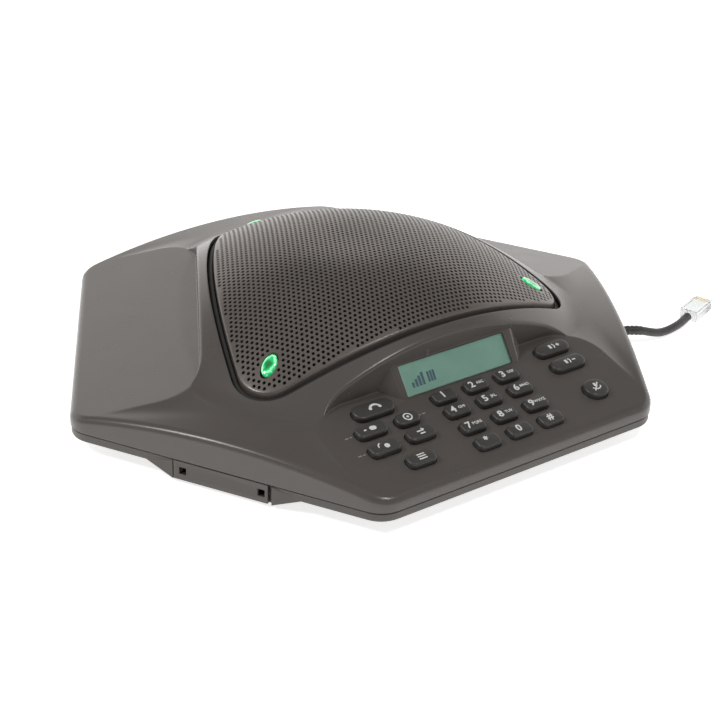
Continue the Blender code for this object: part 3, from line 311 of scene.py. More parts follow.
class Shape:
    """Vertices and faces of one mesh under construction; each face has a material slot."""

    def __init__(self):
        self.verts = []
        self.faces = []
        self.slots = []

    def add(self, verts, faces, matrix=None, slot=0):
        base = len(self.verts)
        for v in verts:
            p = Vector(v)
            self.verts.append(matrix @ p if matrix else p)
        self.faces += [[base + i for i in face] for face in faces]
        self.slots += [slot] * len(faces)
        return self

    def join(self, other):
        base = len(self.verts)
        self.verts += other.verts
        self.faces += [[base + i for i in face] for face in other.faces]
        self.slots += other.slots
        return self

    def strip(self, row_a, row_b):
        """Faces between two open rows; corners that coincide are merged."""
        for i in range(len(row_a) - 1):
            corners = []
            for p in (row_a[i], row_a[i + 1], row_b[i + 1], row_b[i]):
                if all((Vector(p) - Vector(q)).length > 0.01 for q in corners):
                    corners.append(p)
            if len(corners) > 2:
                self.plate(corners)

    def plate(self, outline, slot=0):
        """One face."""
        return self.add(outline, [list(range(len(outline)))], slot=slot)

    def bands(self, rings):
        """Faces between closed rings of equal count, each to the next."""
        n = len(rings[0])
        faces = [[j, (j + 1) % n, n + (j + 1) % n, n + j] for j in range(n)]
        for ring_a, ring_b in zip(rings, rings[1:]):
            self.add(list(ring_a) + list(ring_b), faces)

    def loft(self, rings, caps=True, matrix=None, slot=0):
        """Solid skin over closed rings; caps=False joins the last ring to the first."""
        n = len(rings[0])
        verts = [p for ring in rings for p in ring]
        spans = len(rings) - 1 if caps else len(rings)
        faces = []
        for r in range(spans):
            a, b = r * n, ((r + 1) % len(rings)) * n
            faces += [[a + j, a + (j + 1) % n, b + (j + 1) % n, b + j] for j in range(n)]
        if caps:
            faces.append(list(range(n))[::-1])
            faces.append([(len(rings) - 1) * n + j for j in range(n)])
        return self.add(verts, faces, matrix, slot)

    def prism(self, outline, low, high, matrix=None, slot=0):
        return self.loft([at_height(outline, low), at_height(outline, high)], True, matrix, slot)

    def hull(self, points):
        bm = bmesh.new()
        for p in points:
            bm.verts.new(p)
        bmesh.ops.convex_hull(bm, input=bm.verts)
        loose = [v for v in bm.verts if not v.link_faces]
        bmesh.ops.delete(bm, geom=loose, context="VERTS")
        return self.take(bm)

    def take(self, bm):
        """Adds a bmesh's faces and frees it."""
        bm.verts.index_update()
        verts = [v.co.copy() for v in bm.verts]
        self.add(verts, [[v.index for v in f.verts] for f in bm.faces])
        bm.free()
        return self

    def as_bmesh(self, scale=1.0):
        bm = bmesh.new()
        verts = [bm.verts.new(v * scale) for v in self.verts]
        for face, slot in zip(self.faces, self.slots):
            made = bm.faces.new([verts[i] for i in face])
            made.material_index = slot
        bmesh.ops.remove_doubles(bm, verts=bm.verts, dist=0.004 * scale)
        bmesh.ops.recalc_face_normals(bm, faces=bm.faces)
        return bm

    def bevelled(self, width, segments=3):
        """The same closed shape with its sharp edges rounded."""
        bm = self.as_bmesh()
        sharp = [e for e in bm.edges
                 if len(e.link_faces) == 2 and e.calc_face_angle() > SHARP_ANGLE]
        bmesh.ops.bevel(bm, geom=sharp, offset=width, segments=segments, profile=0.5,
                        affect="EDGES", clamp_overlap=True)
        return Shape().take(bm)


def link(name, data):
    """A new object in the scene around its data."""
    obj = bpy.data.objects.new(name, data)
    bpy.context.scene.collection.objects.link(obj)
    return obj


def plain_object(name, shape):
    mesh = bpy.data.meshes.new(name)
    bm = shape.as_bmesh(MM)
    bm.to_mesh(mesh)
    bm.free()
    return link(name, mesh)


def evaluated_mesh(obj):
    """A new mesh with the object's modifiers or text applied."""
    bpy.context.view_layer.update()
    graph = bpy.context.evaluated_depsgraph_get()
    return bpy.data.meshes.new_from_object(obj.evaluated_get(graph))


def make(name, shape, mats, matrix=None, smooth_angle=35):
    """A mesh object from a shape. With a matrix (in mm) the shape is local to that place."""
    obj = plain_object(name, shape)
    for mat in mats:
        obj.data.materials.append(mat)
    placed = matrix.copy() if matrix else Matrix()
    placed.translation = (placed.translation + CENTRE) * MM
    obj.matrix_world = placed
    soften(obj, smooth_angle)
    return obj


def soften(obj, angle):
    obj.data.shade_smooth()
    obj.data.set_sharp_from_angle(angle=math.radians(angle))


def carve(obj, steps):
    """Applies a list of (operation, shape) Booleans to the object's mesh."""
    tools = []
    for operation, shape in steps:
        tool = plain_object("tool", shape)
        tool.matrix_world = obj.matrix_world
        mod = obj.modifiers.new("carve", "BOOLEAN")
        mod.operation = operation
        mod.solver = "EXACT"
        mod.object = tool
        tools.append(tool)
    mesh = evaluated_mesh(obj)
    obj.modifiers.clear()
    obj.data = mesh
    for tool in tools:
        bpy.data.objects.remove(tool)
    soften(obj, 32)


def piece(obj, slot, *nodes, body=POD, even=True):
    """Hangs a finished object on its body and hides the CAD nodes that it stands for. The slot argument,
    its finish, is not used.
    """
    if even:
        mod = obj.modifiers.new("even_normals", "WEIGHTED_NORMAL")
        mod.keep_sharp = True
    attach(obj, body)
    if nodes:
        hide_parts(*nodes)
    return obj


# ======== materials ========

def add_node(tree, kind, inputs, settings):
    """A shader node; an input is a socket to link or a value."""
    node = tree.nodes.new(kind)
    for key, value in settings.items():
        setattr(node, key, value)
    for key, value in inputs.items():
        feed(tree, node.inputs[key], value)
    return node


def feed(tree, socket, value):
    if isinstance(value, bpy.types.NodeSocket):
        tree.links.new(value, socket)
    elif socket.type == "RGBA":
        socket.default_value = (*value[:3], 1.0)
    else:
        socket.default_value = value


def add_mix(tree, share, first, second):
    """Colour mix; returns its colour output."""
    node = tree.nodes.new("ShaderNodeMix")
    node.data_type = "RGBA"
    colours = [socket for socket in node.inputs if socket.type == "RGBA"]
    for socket, value in ((node.inputs[0], share), (colours[0], first), (colours[1], second)):
        feed(tree, socket, value)
    return next(socket for socket in node.outputs if socket.type == "RGBA")


class Finish:
    """One procedural material; sizes are in millimetres."""

    def __init__(self, name):
        self.mat = bpy.data.materials.new(name)
        self.mat.use_nodes = True
        self.tree = self.mat.node_tree
        self.bsdf = self.tree.nodes["Principled BSDF"]
        self.place = self.add("ShaderNodeTexCoord").outputs["Object"]

    def add(self, kind, inputs=None, **settings):
        return add_node(self.tree, kind, inputs or {}, settings)

    def set(self, **sockets):
        """Base_Color=..., Roughness=... with a value, a colour or a socket."""
        for key, value in sockets.items():
            feed(self.tree, self.bsdf.inputs[key.replace("_", " ")], value)

    def noise(self, size, detail=2.0, stretch=(1, 1, 1)):
        scaled = self.add("ShaderNodeVectorMath", {0: self.place, 1: stretch}, operation="MULTIPLY")
        node = self.add("ShaderNodeTexNoise", {"Vector": scaled.outputs[0], "Scale": 1 / (size * MM),
                                               "Detail": detail})
        return node.outputs["Fac"]

    def cells(self, size):
        node = self.add("ShaderNodeTexVoronoi", {"Vector": self.place, "Scale": 1 / (size * MM)})
        return node.outputs["Distance"]

    def spread(self, value, low, high, start=0.3, stop=0.7):
        node = self.add("ShaderNodeMapRange", {"Value": value, "From Min": start, "From Max": stop,
                                               "To Min": low, "To Max": high})
        return node.outputs["Result"]

    def mix(self, share, first, second):
        return add_mix(self.tree, share, first, second)

    def tones(self, pattern, colour, dark, pale):
        """The colour, from a darker to a paler shade with the pattern."""
        return self.mix(self.spread(pattern, 0.0, 1.0), shade(colour, dark), shade(colour, pale))

    def ramp(self, value, stops):
        node = self.add("ShaderNodeValToRGB", {"Fac": value})
        elements = node.color_ramp.elements
        while len(elements) < len(stops):
            elements.new(0.5)
        for element, (place, colour) in zip(elements, stops):
            element.position = place
            element.color = (*colour, 1.0)
        return node.outputs["Color"]

    def math(self, operation, first, second):
        return self.add("ShaderNodeMath", {0: first, 1: second}, operation=operation).outputs[0]

    def bump(self, height, depth):
        node = self.add("ShaderNodeBump", {"Height": height, "Distance": depth * MM})
        self.set(Normal=node.outputs["Normal"])
        return self

    def worn_edges(self):
        node = self.add("ShaderNodeNewGeometry")
        return self.spread(node.outputs["Pointiness"], 0.0, 1.0, 0.53, 0.60)


def shade(colour, factor):
    return tuple(min(c * factor, 1.0) for c in colour)


def moulded(name, colour, roughness, grain=0.9, wear=0.3):
    """Spark-eroded moulded plastic: fine grain, faint clouding, polished high edges."""
    f = Finish(name)
    fine = f.noise(grain, 1.0)
    base = f.tones(f.noise(22.0, 4.0), colour, 0.94, 1.06)
    speck = f.mix(fine, shade(colour, 0.94), shade(colour, 1.06))
    base = f.mix(0.5, base, speck)
    edges = f.math("MULTIPLY", f.worn_edges(), wear)
    base = f.mix(edges, base, shade(colour, 1.5))
    rough = f.math("SUBTRACT", f.spread(f.noise(12.0), roughness - 0.01, roughness + 0.015),
                   f.math("MULTIPLY", edges, 0.3))
    f.set(Base_Color=base, Roughness=rough)
    return f.bump(fine, 0.0012).mat


def perforated_metal(name, colour):
    """Painted steel sheet: smoother than the plastic, with a faint orange peel."""
    f = Finish(name)
    peel = f.noise(0.9, 2.0)
    f.set(Base_Color=f.tones(f.noise(30.0, 3.0), colour, 0.93, 1.07),
          Roughness=f.spread(peel, 0.27, 0.35), Metallic=0.4)
    return f.bump(peel, 0.002).mat


def cloth(name, colour):
    """Black acoustic cloth: two crossed threads."""
    f = Finish(name)
    warp, weft = [f.add("ShaderNodeTexWave", {"Vector": f.place, "Scale": 900.0},
                        bands_direction=way).outputs["Fac"] for way in "XY"]
    weave = f.math("MULTIPLY", warp, weft)
    f.set(Base_Color=f.mix(weave, shade(colour, 0.5), shade(colour, 1.6)), Roughness=0.95)
    return f.bump(weave, 0.05).mat


def rubber(name, colour, roughness=0.72):
    f = Finish(name)
    fine = f.noise(0.35, 4.0)
    f.set(Base_Color=f.tones(f.noise(5.0, 3.0), colour, 0.8, 1.25),
          Roughness=f.spread(fine, roughness - 0.08, roughness + 0.08))
    return f.bump(fine, 0.02).mat


def cable_jacket(name, colour):
    """Extruded jacket: long faint streaks and small scuffs."""
    f = Finish(name)
    streak = f.noise(0.8, 3.0, (0.25, 1.0, 1.0))
    f.set(Base_Color=f.tones(streak, colour, 0.8, 1.35),
          Roughness=f.spread(f.noise(3.0), 0.38, 0.52))
    return f.bump(streak, 0.015).mat


def circuit_board(name, colour, top_z=None, chip=None):
    """Solder mask over traces; what stands above top_z, if it is given, is chip plastic."""
    f = Finish(name)
    tracks = f.add("ShaderNodeTexBrick", {"Vector": f.place, "Scale": 120.0, "Mortar Size": 0.03,
                                          "Color1": colour, "Color2": shade(colour, 0.7),
                                          "Mortar": shade(colour, 2.4)})
    pads = f.spread(f.cells(3.4), 1.0, 0.0, 0.10, 0.14)
    board = f.mix(f.math("MULTIPLY", pads, 0.7), tracks.outputs["Color"], (0.55, 0.42, 0.18))
    if chip:
        height = f.add("ShaderNodeSeparateXYZ", {"Vector": f.place}).outputs["Z"]
        above = f.math("GREATER_THAN", height, top_z * MM)
        board = f.mix(above, board, f.mix(f.noise(1.0), chip, shade(chip, 1.8)))
    f.set(Base_Color=board, Roughness=f.spread(f.noise(4.0), 0.32, 0.48))
    return f.bump(tracks.outputs["Fac"], 0.03).mat


def brushed_steel(name, colour, roughness=0.32):
    f = Finish(name)
    lines = f.noise(0.6, 2.0, (1.0, 1.0, 0.08))
    f.set(Base_Color=f.tones(lines, colour, 0.85, 1.1),
          Roughness=f.spread(lines, roughness - 0.08, roughness + 0.1), Metallic=0.95)
    return f.bump(lines, 0.01).mat


def grainy(name, colour, roughness, size, contrast=0.3, depth=0.05):
    """Sintered, fibrous or cast stuff: ferrite, paper, silicone."""
    f = Finish(name)
    grain = f.noise(size, 5.0)
    f.set(Base_Color=f.tones(grain, colour, 1 - contrast, 1 + contrast),
          Roughness=f.spread(grain, roughness - 0.08, roughness + 0.08))
    return f.bump(grain, depth).mat


def clear_plastic(name, colour, roughness, transmission):
    f = Finish(name)
    swirl = f.noise(4.0, 3.0)
    f.set(Base_Color=f.mix(swirl, shade(colour, 0.96), colour), Transmission_Weight=transmission,
          Roughness=f.spread(swirl, roughness, roughness + 0.05), IOR=1.49)
    return f.mat


def display_green(name, colour):
    """Liquid crystal behind glass: a fine grid of cells over an even teal, with a painted glow that
    stands in for the light the window keeps from it.
    """
    f = Finish(name)
    grid = f.add("ShaderNodeTexBrick", {"Vector": f.place, "Scale": 900.0, "Mortar Size": 0.04,
                                        "Brick Width": 0.5, "Row Height": 0.5,
                                        "Color1": colour, "Color2": shade(colour, 0.97),
                                        "Mortar": shade(colour, 0.85)}, offset=0.0)
    base = f.mix(f.spread(f.noise(14.0), 0.0, 0.35), grid.outputs["Color"], shade(colour, 1.25))
    # the emission is a painted glow: the display has no backlight of its own
    f.set(Base_Color=base, Roughness=0.3, Emission_Color=base, Emission_Strength=0.42)
    f.mat.cycles.emission_sampling = "NONE"
    return f.mat


def lit_lens(name, dark, bright, pale):
    """Light guide: an even glow with a bright rim and a dim middle, in the lens's own frame; the pale
    band near the rim is a painted highlight that glows with the rest.
    """
    f = Finish(name)
    half = Vector((LENS_WIDE / 2, LENS_LONG / 2)) * MM
    oval = f.add("ShaderNodeVectorMath", {0: f.place, 1: (1 / half.x, 1 / half.y, 0)},
                 operation="MULTIPLY").outputs[0]
    reach = f.add("ShaderNodeVectorMath", {0: oval}, operation="LENGTH").outputs["Value"]
    ragged = f.math("ADD", reach, f.spread(f.noise(1.6, 3.0), -0.16, 0.16))
    # the pale stop at 0.82 is a painted highlight on the lens's dome, glowing with the lens
    glow = f.ramp(ragged, ((0.0, shade(dark, 0.7)), (0.38, dark), (0.62, bright),
                           (0.82, pale), (1.0, bright)))
    f.set(Base_Color=glow, Roughness=0.10, Coat_Weight=1.0, Emission_Color=glow,
          Emission_Strength=0.6)
    f.mat.cycles.emission_sampling = "NONE"
    return f.mat


def ink(name, colour):
    """Printed legend: slightly uneven pad-print ink."""
    f = Finish(name)
    f.set(Base_Color=f.mix(f.noise(0.7, 4.0), shade(colour, 0.82), colour), Roughness=0.5)
    return f.mat


def build_finishes():
    body = (0.086, 0.076, 0.069)
    mask = (0.015, 0.11, 0.045)
    return {
        "cover": moulded("cover_grey", body, 0.26),
        "case": moulded("case_grey", shade(body, 0.80), 0.42),
        "grille": perforated_metal("grille_paint", shade(body, 1.6)),
        "cloth": cloth("acoustic_cloth", (0.022, 0.020, 0.019)),
        "key": moulded("key_charcoal", (0.046, 0.044, 0.041), 0.36, grain=0.6),
        "legend": ink("legend_white", (0.78, 0.78, 0.76)),
        "mark": ink("panel_mark", (0.30, 0.29, 0.28)),
        "rubber": rubber("black_rubber", (0.021, 0.020, 0.019)),
        "foot": rubber("foot_rubber", (0.020, 0.020, 0.021), 0.8),
        "window": clear_plastic("window_clear", (0.96, 1.0, 0.98), 0.03, 1.0),
        "display": display_green("display_green", (0.165, 0.31, 0.25)),
        "display_ink": ink("display_blue", (0.085, 0.18, 0.27)),
        # the lens's third, pale colour is a painted highlight
        "lens": lit_lens("lens_green", (0.0, 0.17, 0.04), (0.01, 0.50, 0.15), (0.35, 0.90, 0.50)),
        "board": circuit_board("circuit_board", mask, BOARD_TOP, (0.012, 0.012, 0.013)),
        "key_board": circuit_board("keypad_board", mask),
        "silicone": grainy("silicone_grey", (0.20, 0.20, 0.21), 0.6, 1.5, 0.12, 0.01),
        "module": moulded("module_bezel", (0.05, 0.05, 0.052), 0.5, wear=0.1),
        "inner": moulded("inner_plastic", (0.03, 0.03, 0.03), 0.55),
        "steel": brushed_steel("zinc_steel", (0.56, 0.56, 0.57)),
        "magnet": grainy("ferrite", (0.07, 0.07, 0.075), 0.6, 0.5),
        "cone": grainy("cone_paper", (0.045, 0.042, 0.040), 0.88, 0.9, 0.35, 0.08),
        "jack": moulded("jack_plastic", (0.02, 0.02, 0.022), 0.45, wear=0.1),
        "plug": clear_plastic("plug_clear", (0.86, 0.89, 0.90), 0.08, 0.85),
        "contact": brushed_steel("gold_contact", (0.83, 0.62, 0.25), 0.25),
        "cable": cable_jacket("cable_jacket", (0.045, 0.044, 0.043)),
    }


# ======== the pod's surface ========

def side_place(turns, d, lat, z):
    """A point d out from the centre and lat along port side or lobe number turns."""
    return turn((lat, -d, z), turns * math.pi / 3)


def panel_height(y):
    return PANEL_Z + math.tan(PANEL_TILT) * (y - PANEL_Y)


def dome_height(x, y):
    rr = x * x + y * y
    return DOME_Z - DOME_K * rr - CROWN_DROP * math.exp(-rr / CROWN_R ** 2)


def dome_normal(x, y):
    rr = x * x + y * y
    pull = 2 * CROWN_DROP / CROWN_R ** 2 * math.exp(-rr / CROWN_R ** 2) - 2 * DOME_K
    return Vector((-pull * x, -pull * y, 1.0)).normalized()


def flank_height(x, y):
    """Height of the flank above the nearest of the three port sides."""
    lat, low = min((turn((x, y), -turns * math.pi / 3) for turns in (1, 3, 5)), key=lambda p: p[1])
    return FLANK_Z + FLANK_RISE * (APOTHEM + low) - FLANK_K * lat * lat


def body_height(x, y):
    a, b = dome_height(x, y), flank_height(x, y)
    return (a + b + math.sqrt((a - b) ** 2 + BLEND ** 2)) / 2


def grille_radius(angle, grow):
    """Distance from the centre to the grille's edge line, grown outwards, at one plan angle."""
    third = 2 * math.pi / 3
    a = abs((angle + math.pi / 2 + third / 2) % third - third / 2)
    back = GRILLE_ARC_R - GRILLE_INNER
    tip = -back / 2 + math.sqrt((GRILLE_ARC_R - GRILLE_TIP_R) ** 2 - 0.75 * back ** 2)
    touch = math.atan2(tip * math.sin(math.pi / 3), tip / 2 + back)
    touch_x = GRILLE_ARC_R * math.sin(touch)
    touch_y = GRILLE_ARC_R * math.cos(touch) - back
    if a < math.atan2(touch_x, touch_y):
        return -back * math.cos(a) + math.sqrt((GRILLE_ARC_R + grow) ** 2 - (back * math.sin(a)) ** 2)
    off = math.pi / 3 - a
    return tip * math.cos(off) + math.sqrt((GRILLE_TIP_R + grow) ** 2 - (tip * math.sin(off)) ** 2)


def grille_point(angle, grow):
    r = grille_radius(angle, grow)
    return (r * math.cos(angle), r * math.sin(angle))


@functools.lru_cache(maxsize=None)
def hex_edge(inset, side_steps=EDGE_STEPS):
    """The pod's outline set in by inset, from mid front lobe round; equal for every inset."""
    points = []
    corner = CORNER_R - inset
    for turns in range(6):
        steps = side_steps[turns % 2]
        for i in range(steps + 1):
            lat = STRAIGHT * (2 * i / steps - 1)
            points.append(turn((lat, inset - APOTHEM), turns * math.pi / 3))
        for i in range(1, ARC_STEPS):
            a = i / ARC_STEPS * math.pi / 3
            arc = (STRAIGHT + corner * math.sin(a), CORNER_R - APOTHEM - corner * math.cos(a))
            points.append(turn(arc, turns * math.pi / 3))
    return points


# ======== top cover ========

class CoverSkin:
    """Faces of the cover's outer surface (drop 0) or of its inner one (drop SKIN).

    The surface is built of rows of points: round the opening, across each port side, down
    the wall of each lobe and on to its panel. A mark numbers a row across a port side.
    """

    def __init__(self, drop):
        self.drop = drop
        self.edge_inset = EDGE_R if drop == 0 else drop + INNER_ROUND
        self.round = 1.0 if drop == 0 else 0.0
        self.shape = Shape()
        self.border = self.half_border()

    def half_border(self):
        """Columns (x, y, normal, mark) along the right half of a panel's border."""
        rx = PANEL_HALF - WALL_HALF
        ry = WALL_Y - PANEL_CORNER_Y
        columns = []
        for j in range(CORNER_STEPS + 1):
            a = math.pi / 2 * (1 - j / CORNER_STEPS)
            normal = Vector((math.cos(a) / rx, math.sin(a) / ry)).normalized()
            columns.append((WALL_HALF + rx * math.cos(a), PANEL_CORNER_Y + ry * math.sin(a),
                            normal, CORNER_MARKS * j / CORNER_STEPS))
        last = turn((-STRAIGHT, self.edge_inset - APOTHEM), math.pi / 3)
        stops = [(PANEL_HALF, PANEL_CORNER_Y), (PANEL_HALF, -103.0), (PANEL_HALF, -114.0), last]
        for s, (a, b) in enumerate(zip(stops, stops[1:])):
            for j in range(1, SIDE_STEPS + 1):
                t = j / SIDE_STEPS
                columns.append((a[0] + (b[0] - a[0]) * t, a[1] + (b[1] - a[1]) * t,
                                Vector((1.0, 0.0)), CORNER_MARKS + s + t))
        return columns

    def profile(self, x, y, normal, mark):
        """The wall's section at one column: points from the body's surface to the panel."""
        off = self.drop * smooth((3.0 - mark) / 1.2)
        x, y = x + normal.x * off, y + normal.y * off
        wall = body_height(x, y) - panel_height(y)
        if wall < LOW_WALL or mark > 2.5:
            point = (x, y, panel_height(y) - self.drop)
            return [point] * (2 * FILLET_STEPS + 2)
        top, foot = min(BROW_R, 0.4 * wall) * self.round, min(FOOT_R, 0.3 * wall) * self.round
        points = []
        for a in quarter_turn(FILLET_STEPS):
            reach = top * (1 - math.sin(a))
            p = (x + normal.x * reach, y + normal.y * reach)
            points.append((*p, body_height(*p) - self.drop - top * (1 - math.cos(a))))
        for a in quarter_turn(FILLET_STEPS):
            reach = -foot * (1 - math.cos(a))
            p = (x + normal.x * reach, y + normal.y * reach)
            points.append((*p, panel_height(p[1]) - self.drop + foot * (1 - math.sin(a))))
        return points

    def straight_profiles(self):
        places = [WALL_HALF * (2 * i / WALL_STEPS - 1) for i in range(WALL_STEPS + 1)]
        return [self.profile(x, WALL_Y, Vector((0.0, 1.0)), 0.0) for x in places]

    @staticmethod
    def mirrored(points):
        return [(-x, y, z) for x, y, z in points]

    def field_row(self, end, mark):
        """Row across the right port side from one panel's border to the next one's."""
        lat_end, low = turn(end[:2], -math.pi / 3)
        lat_end, d_end = abs(lat_end), -low
        d_mid = between(ROW_MIDDLES + (APOTHEM - self.edge_inset,), mark)
        lift = end[2] - (body_height(end[0], end[1]) - self.drop)
        row = []
        for i in range(TIP_STEPS + 1):
            t = 2 * i / TIP_STEPS - 1
            p = side_place(1, d_mid + (d_end - d_mid) * t * t, lat_end * t, 0)
            u = min(lat_end * (1 - abs(t)) / RAMP, 1.0)
            bend = lift * (1 - u) ** 2 - CREASE * min(mark / 3, 1.0) * u * (1 - u) ** 2
            rest = lift if u == 0 else bend * (1 - smooth((mark - 5.0) / 2.0))
            row.append((p[0], p[1], body_height(p[0], p[1]) - self.drop + rest))
        return row

    def opening_angles(self):
        """Plan angles of the opening's points, matched to the wall and the first field row."""
        angles = []
        for i in range(WALL_STEPS + 1):
            x = 0.92 * WALL_HALF * (2 * i / WALL_STEPS - 1)
            near = grille_point(math.atan2(-GRILLE_INNER + 3.5 * (x / 50) ** 2, x), GROOVE)
            angles.append(math.atan2(near[1], near[0]))
        first = angles[-1]
        last = math.radians(-60) - first
        for i in range(1, TIP_STEPS):
            angles.append(first + (last - first) * (i / TIP_STEPS))
        return angles

    def opening_rows(self):
        """Rows of the rounded lip round the opening, from its lowest to the surface."""
        if not self.round:
            return [self.opening_row(0.0, self.drop)]
        return [self.opening_row(LIP_R * (1 - math.cos(a)), LIP_R * (1 - math.sin(a)))
                for a in quarter_turn(FILLET_STEPS)]

    def opening_row(self, grow, fall):
        points = [grille_point(angle, GROOVE + grow) for angle in self.opening_angles()]
        row = [(x, y, body_height(x, y) - fall) for x, y in points]
        return row + [turn(row[0], 2 * math.pi / 3)]

    def build(self):
        straight = self.straight_profiles()
        columns = [self.profile(*column) for column in self.border]
        fields = [self.field_row(section[0], column[3])
                  for section, column in zip(columns, self.border)]
        outer = [section[0] for section in straight] + fields[0][1:]
        lip = self.opening_rows()
        inner = lip[-1]
        band = [[self.between_rows(a, b, r / BAND_STEPS) for a, b in zip(inner, outer)]
                for r in range(1, BAND_STEPS)]
        whole = [self.mirrored(c) for c in columns[:0:-1]] + straight + columns[1:]
        wall = [list(row) for row in zip(*whole)]
        for angle in LOBE_ANGLES:
            for rows in (lip + band + [outer], fields, wall):
                for near, far in zip(rows, rows[1:]):
                    self.shape.strip([turn(p, angle) for p in near], [turn(p, angle) for p in far])
            self.panel_face([turn(p, angle) for p in wall[-1] + self.lobe_edge()])
        return self.shape

    def between_rows(self, a, b, s):
        x, y = a[0] + (b[0] - a[0]) * s, a[1] + (b[1] - a[1]) * s
        return (x, y, body_height(x, y) - self.drop)

    def panel_face(self, points):
        unique = []
        for p in points:
            if not unique or (Vector(p) - Vector(unique[-1])).length > 0.01:
                unique.append(p)
        self.shape.plate(unique)

    def lobe_edge(self):
        """The panel's outer border, from its right end back to its left."""
        ring = hex_edge(self.edge_inset)
        extra = ARC_STEPS - 1
        front = [ring[(k - extra) % len(ring)] for k in range(EDGE_STEPS[0] + 1 + 2 * extra)]
        return [(x, y, panel_height(y) - self.drop) for x, y in front[::-1]]


def edge_top(inset, k):
    """Height of the cover's surface at point k of the outline."""
    x, y = hex_edge(inset)[k]
    extra = ARC_STEPS - 1
    first_side = EDGE_STEPS[0] + 1 + extra
    lobe, place = divmod(k, EDGE_STEPS[0] + EDGE_STEPS[1] + 2 + 2 * extra)
    if first_side < place < first_side + EDGE_STEPS[1]:
        return body_height(x, y)
    if place >= first_side + EDGE_STEPS[1]:
        lobe += 1
    return panel_height(turn((x, y), -lobe * 2 * math.pi / 3)[1])


def rim_levels():
    """Closed rings from the cover's surface round its upper edge, down and back up inside."""
    count = len(hex_edge(0.0))
    tops = [edge_top(EDGE_R, k) for k in range(count)]
    step = 0.5
    slopes = [math.atan((edge_top(EDGE_R + step, k) - tops[k]) / step) for k in range(count)]
    levels = []
    for j in range(2 * FILLET_STEPS + 1):
        share = j / (2 * FILLET_STEPS)
        ring = []
        for k, start in enumerate(slopes):
            a = start + (math.pi / 2 - start) * share
            radius = EDGE_R / (1 - math.sin(start))
            x, y = hex_edge(radius * (1 - math.sin(a)))[k]
            ring.append((x, y, tops[k] - radius * (math.cos(start) - math.cos(a))))
        levels.append(ring)
    levels.append(at_height(hex_edge(0.0), SEAM_Z + CHAMFER))
    levels.append(at_height(hex_edge(CHAMFER), SEAM_Z))
    levels.append(at_height(hex_edge(SKIN), SEAM_Z))
    inner = SKIN + INNER_ROUND
    heights = [edge_top(inner, k) for k in range(count)]
    levels.append([(*p, z - SKIN - INNER_ROUND) for p, z in zip(hex_edge(SKIN), heights)])
    levels.append([(*p, z - SKIN) for p, z in zip(hex_edge(inner), heights)])
    return levels


def panel_matrix():
    """Frame of the keypad panel: X across, Y up the slope, Z out of the panel."""
    return Matrix.Translation((0.0, PANEL_Y, PANEL_Z)) @ Matrix.Rotation(PANEL_TILT, 4, "X")


def lcd_matrix():
    """Frame of the display: origin at the window's centre, Z out of the window."""
    turned = Matrix.Rotation(LCD_TILT, 4, "X")
    centre = middle("display_window") + turned @ Vector((0, 0, 1.0))
    return Matrix.Translation(centre) @ turned


def key_caps():
    """Centre and size of each key's cap in the panel's frame, measured on the CAD nodes."""
    to_panel = panel_matrix().inverted()
    caps = {}
    for name, node in frame["nodes"].items():
        if name.startswith("key_"):
            points = [to_panel @ (v.co / MM - CENTRE) for v in node.data.vertices]
            cap = [p for p in points if p.z > -1.0]
            xs, ys = [p.x for p in cap], [p.y for p in cap]
            caps[name] = ((max(xs) + min(xs)) / 2, (max(ys) + min(ys)) / 2,
                          max(xs) - min(xs), max(ys) - min(ys))
    return caps


CAPS = key_caps()


def cap_round(name):
    """Corner radius of a cap: dial keys are squarer, the mute key is nearly round."""
    height = CAPS[name][3]
    if name in ("key_hook", "key_volume_up", "key_volume_down", "key_mute", "key_function_3"):
        return 0.45 * height
    return 0.37 * height if "function" in name else 0.31 * height


def island():
    """Wedge that carries the display, between the panel and the wall."""
    foot = lcd_matrix() @ Vector((0, -LCD_H / 2, 0))
    rise = math.tan(LCD_TILT)
    face = foot.z + (ISLAND_FRONT - foot.y) * rise
    top = foot.z + (ISLAND_BACK - foot.y) * rise
    points = []
    for x, way in ((ISLAND_LEFT, -1), (ISLAND_RIGHT, 1)):
        wide = x + way * ISLAND_FOOT_FLARE
        points += [(x, ISLAND_FRONT, face), (x, ISLAND_FRONT, ISLAND_LOW),
                   (x + way * ISLAND_TOP_FLARE, ISLAND_BACK, top),
                   (wide, ISLAND_BACK, panel_height(ISLAND_BACK) + 0.5), (wide, ISLAND_BACK, ISLAND_LOW)]
    return Shape().hull(points).bevelled(0.9)


def build_cover(mats):
    outer, inner = CoverSkin(0.0), CoverSkin(SKIN)
    shape = outer.build().join(inner.build())
    low, high = inner.opening_rows()[0], outer.opening_rows()[0]
    for angle in LOBE_ANGLES:
        shape.strip([turn(p, angle) for p in low], [turn(p, angle) for p in high])
    shape.bands(rim_levels())
    cover = make("cover_shell", shape, [mats["cover"]])
    holes = Shape()
    for name, (x, y, w, h) in CAPS.items():
        outline = rounded_rect(w + 2 * KEY_CLEAR, h + 2 * KEY_CLEAR, cap_round(name) + KEY_CLEAR)
        holes.prism([(px + x, py + y) for px, py in outline], -KEY_CUT, KEY_CUT, panel_matrix())
    window = Shape().prism(rounded_rect(LCD_W, LCD_H, 0.8), -6.0, 3.0, lcd_matrix())
    cavity = Shape().prism(rounded_rect(LCD_W + 3, LCD_H + 5, 0.8), -16.0, -1.8, lcd_matrix())
    carve(cover, [("UNION", island()), ("DIFFERENCE", holes), ("DIFFERENCE", window),
                  ("DIFFERENCE", cavity)])
    piece(cover, "cover", "top_cover")


# ======== grille, seal and status lenses ========

def lens_oval(turns, grow):
    """Plan outline of a status lens, grown outwards."""
    oval = ellipse(LENS_LONG / 2 + grow, LENS_WIDE / 2 + grow, 28)
    return [side_place(turns, LENS_R + along, -across, 0)[:2] for along, across in oval]


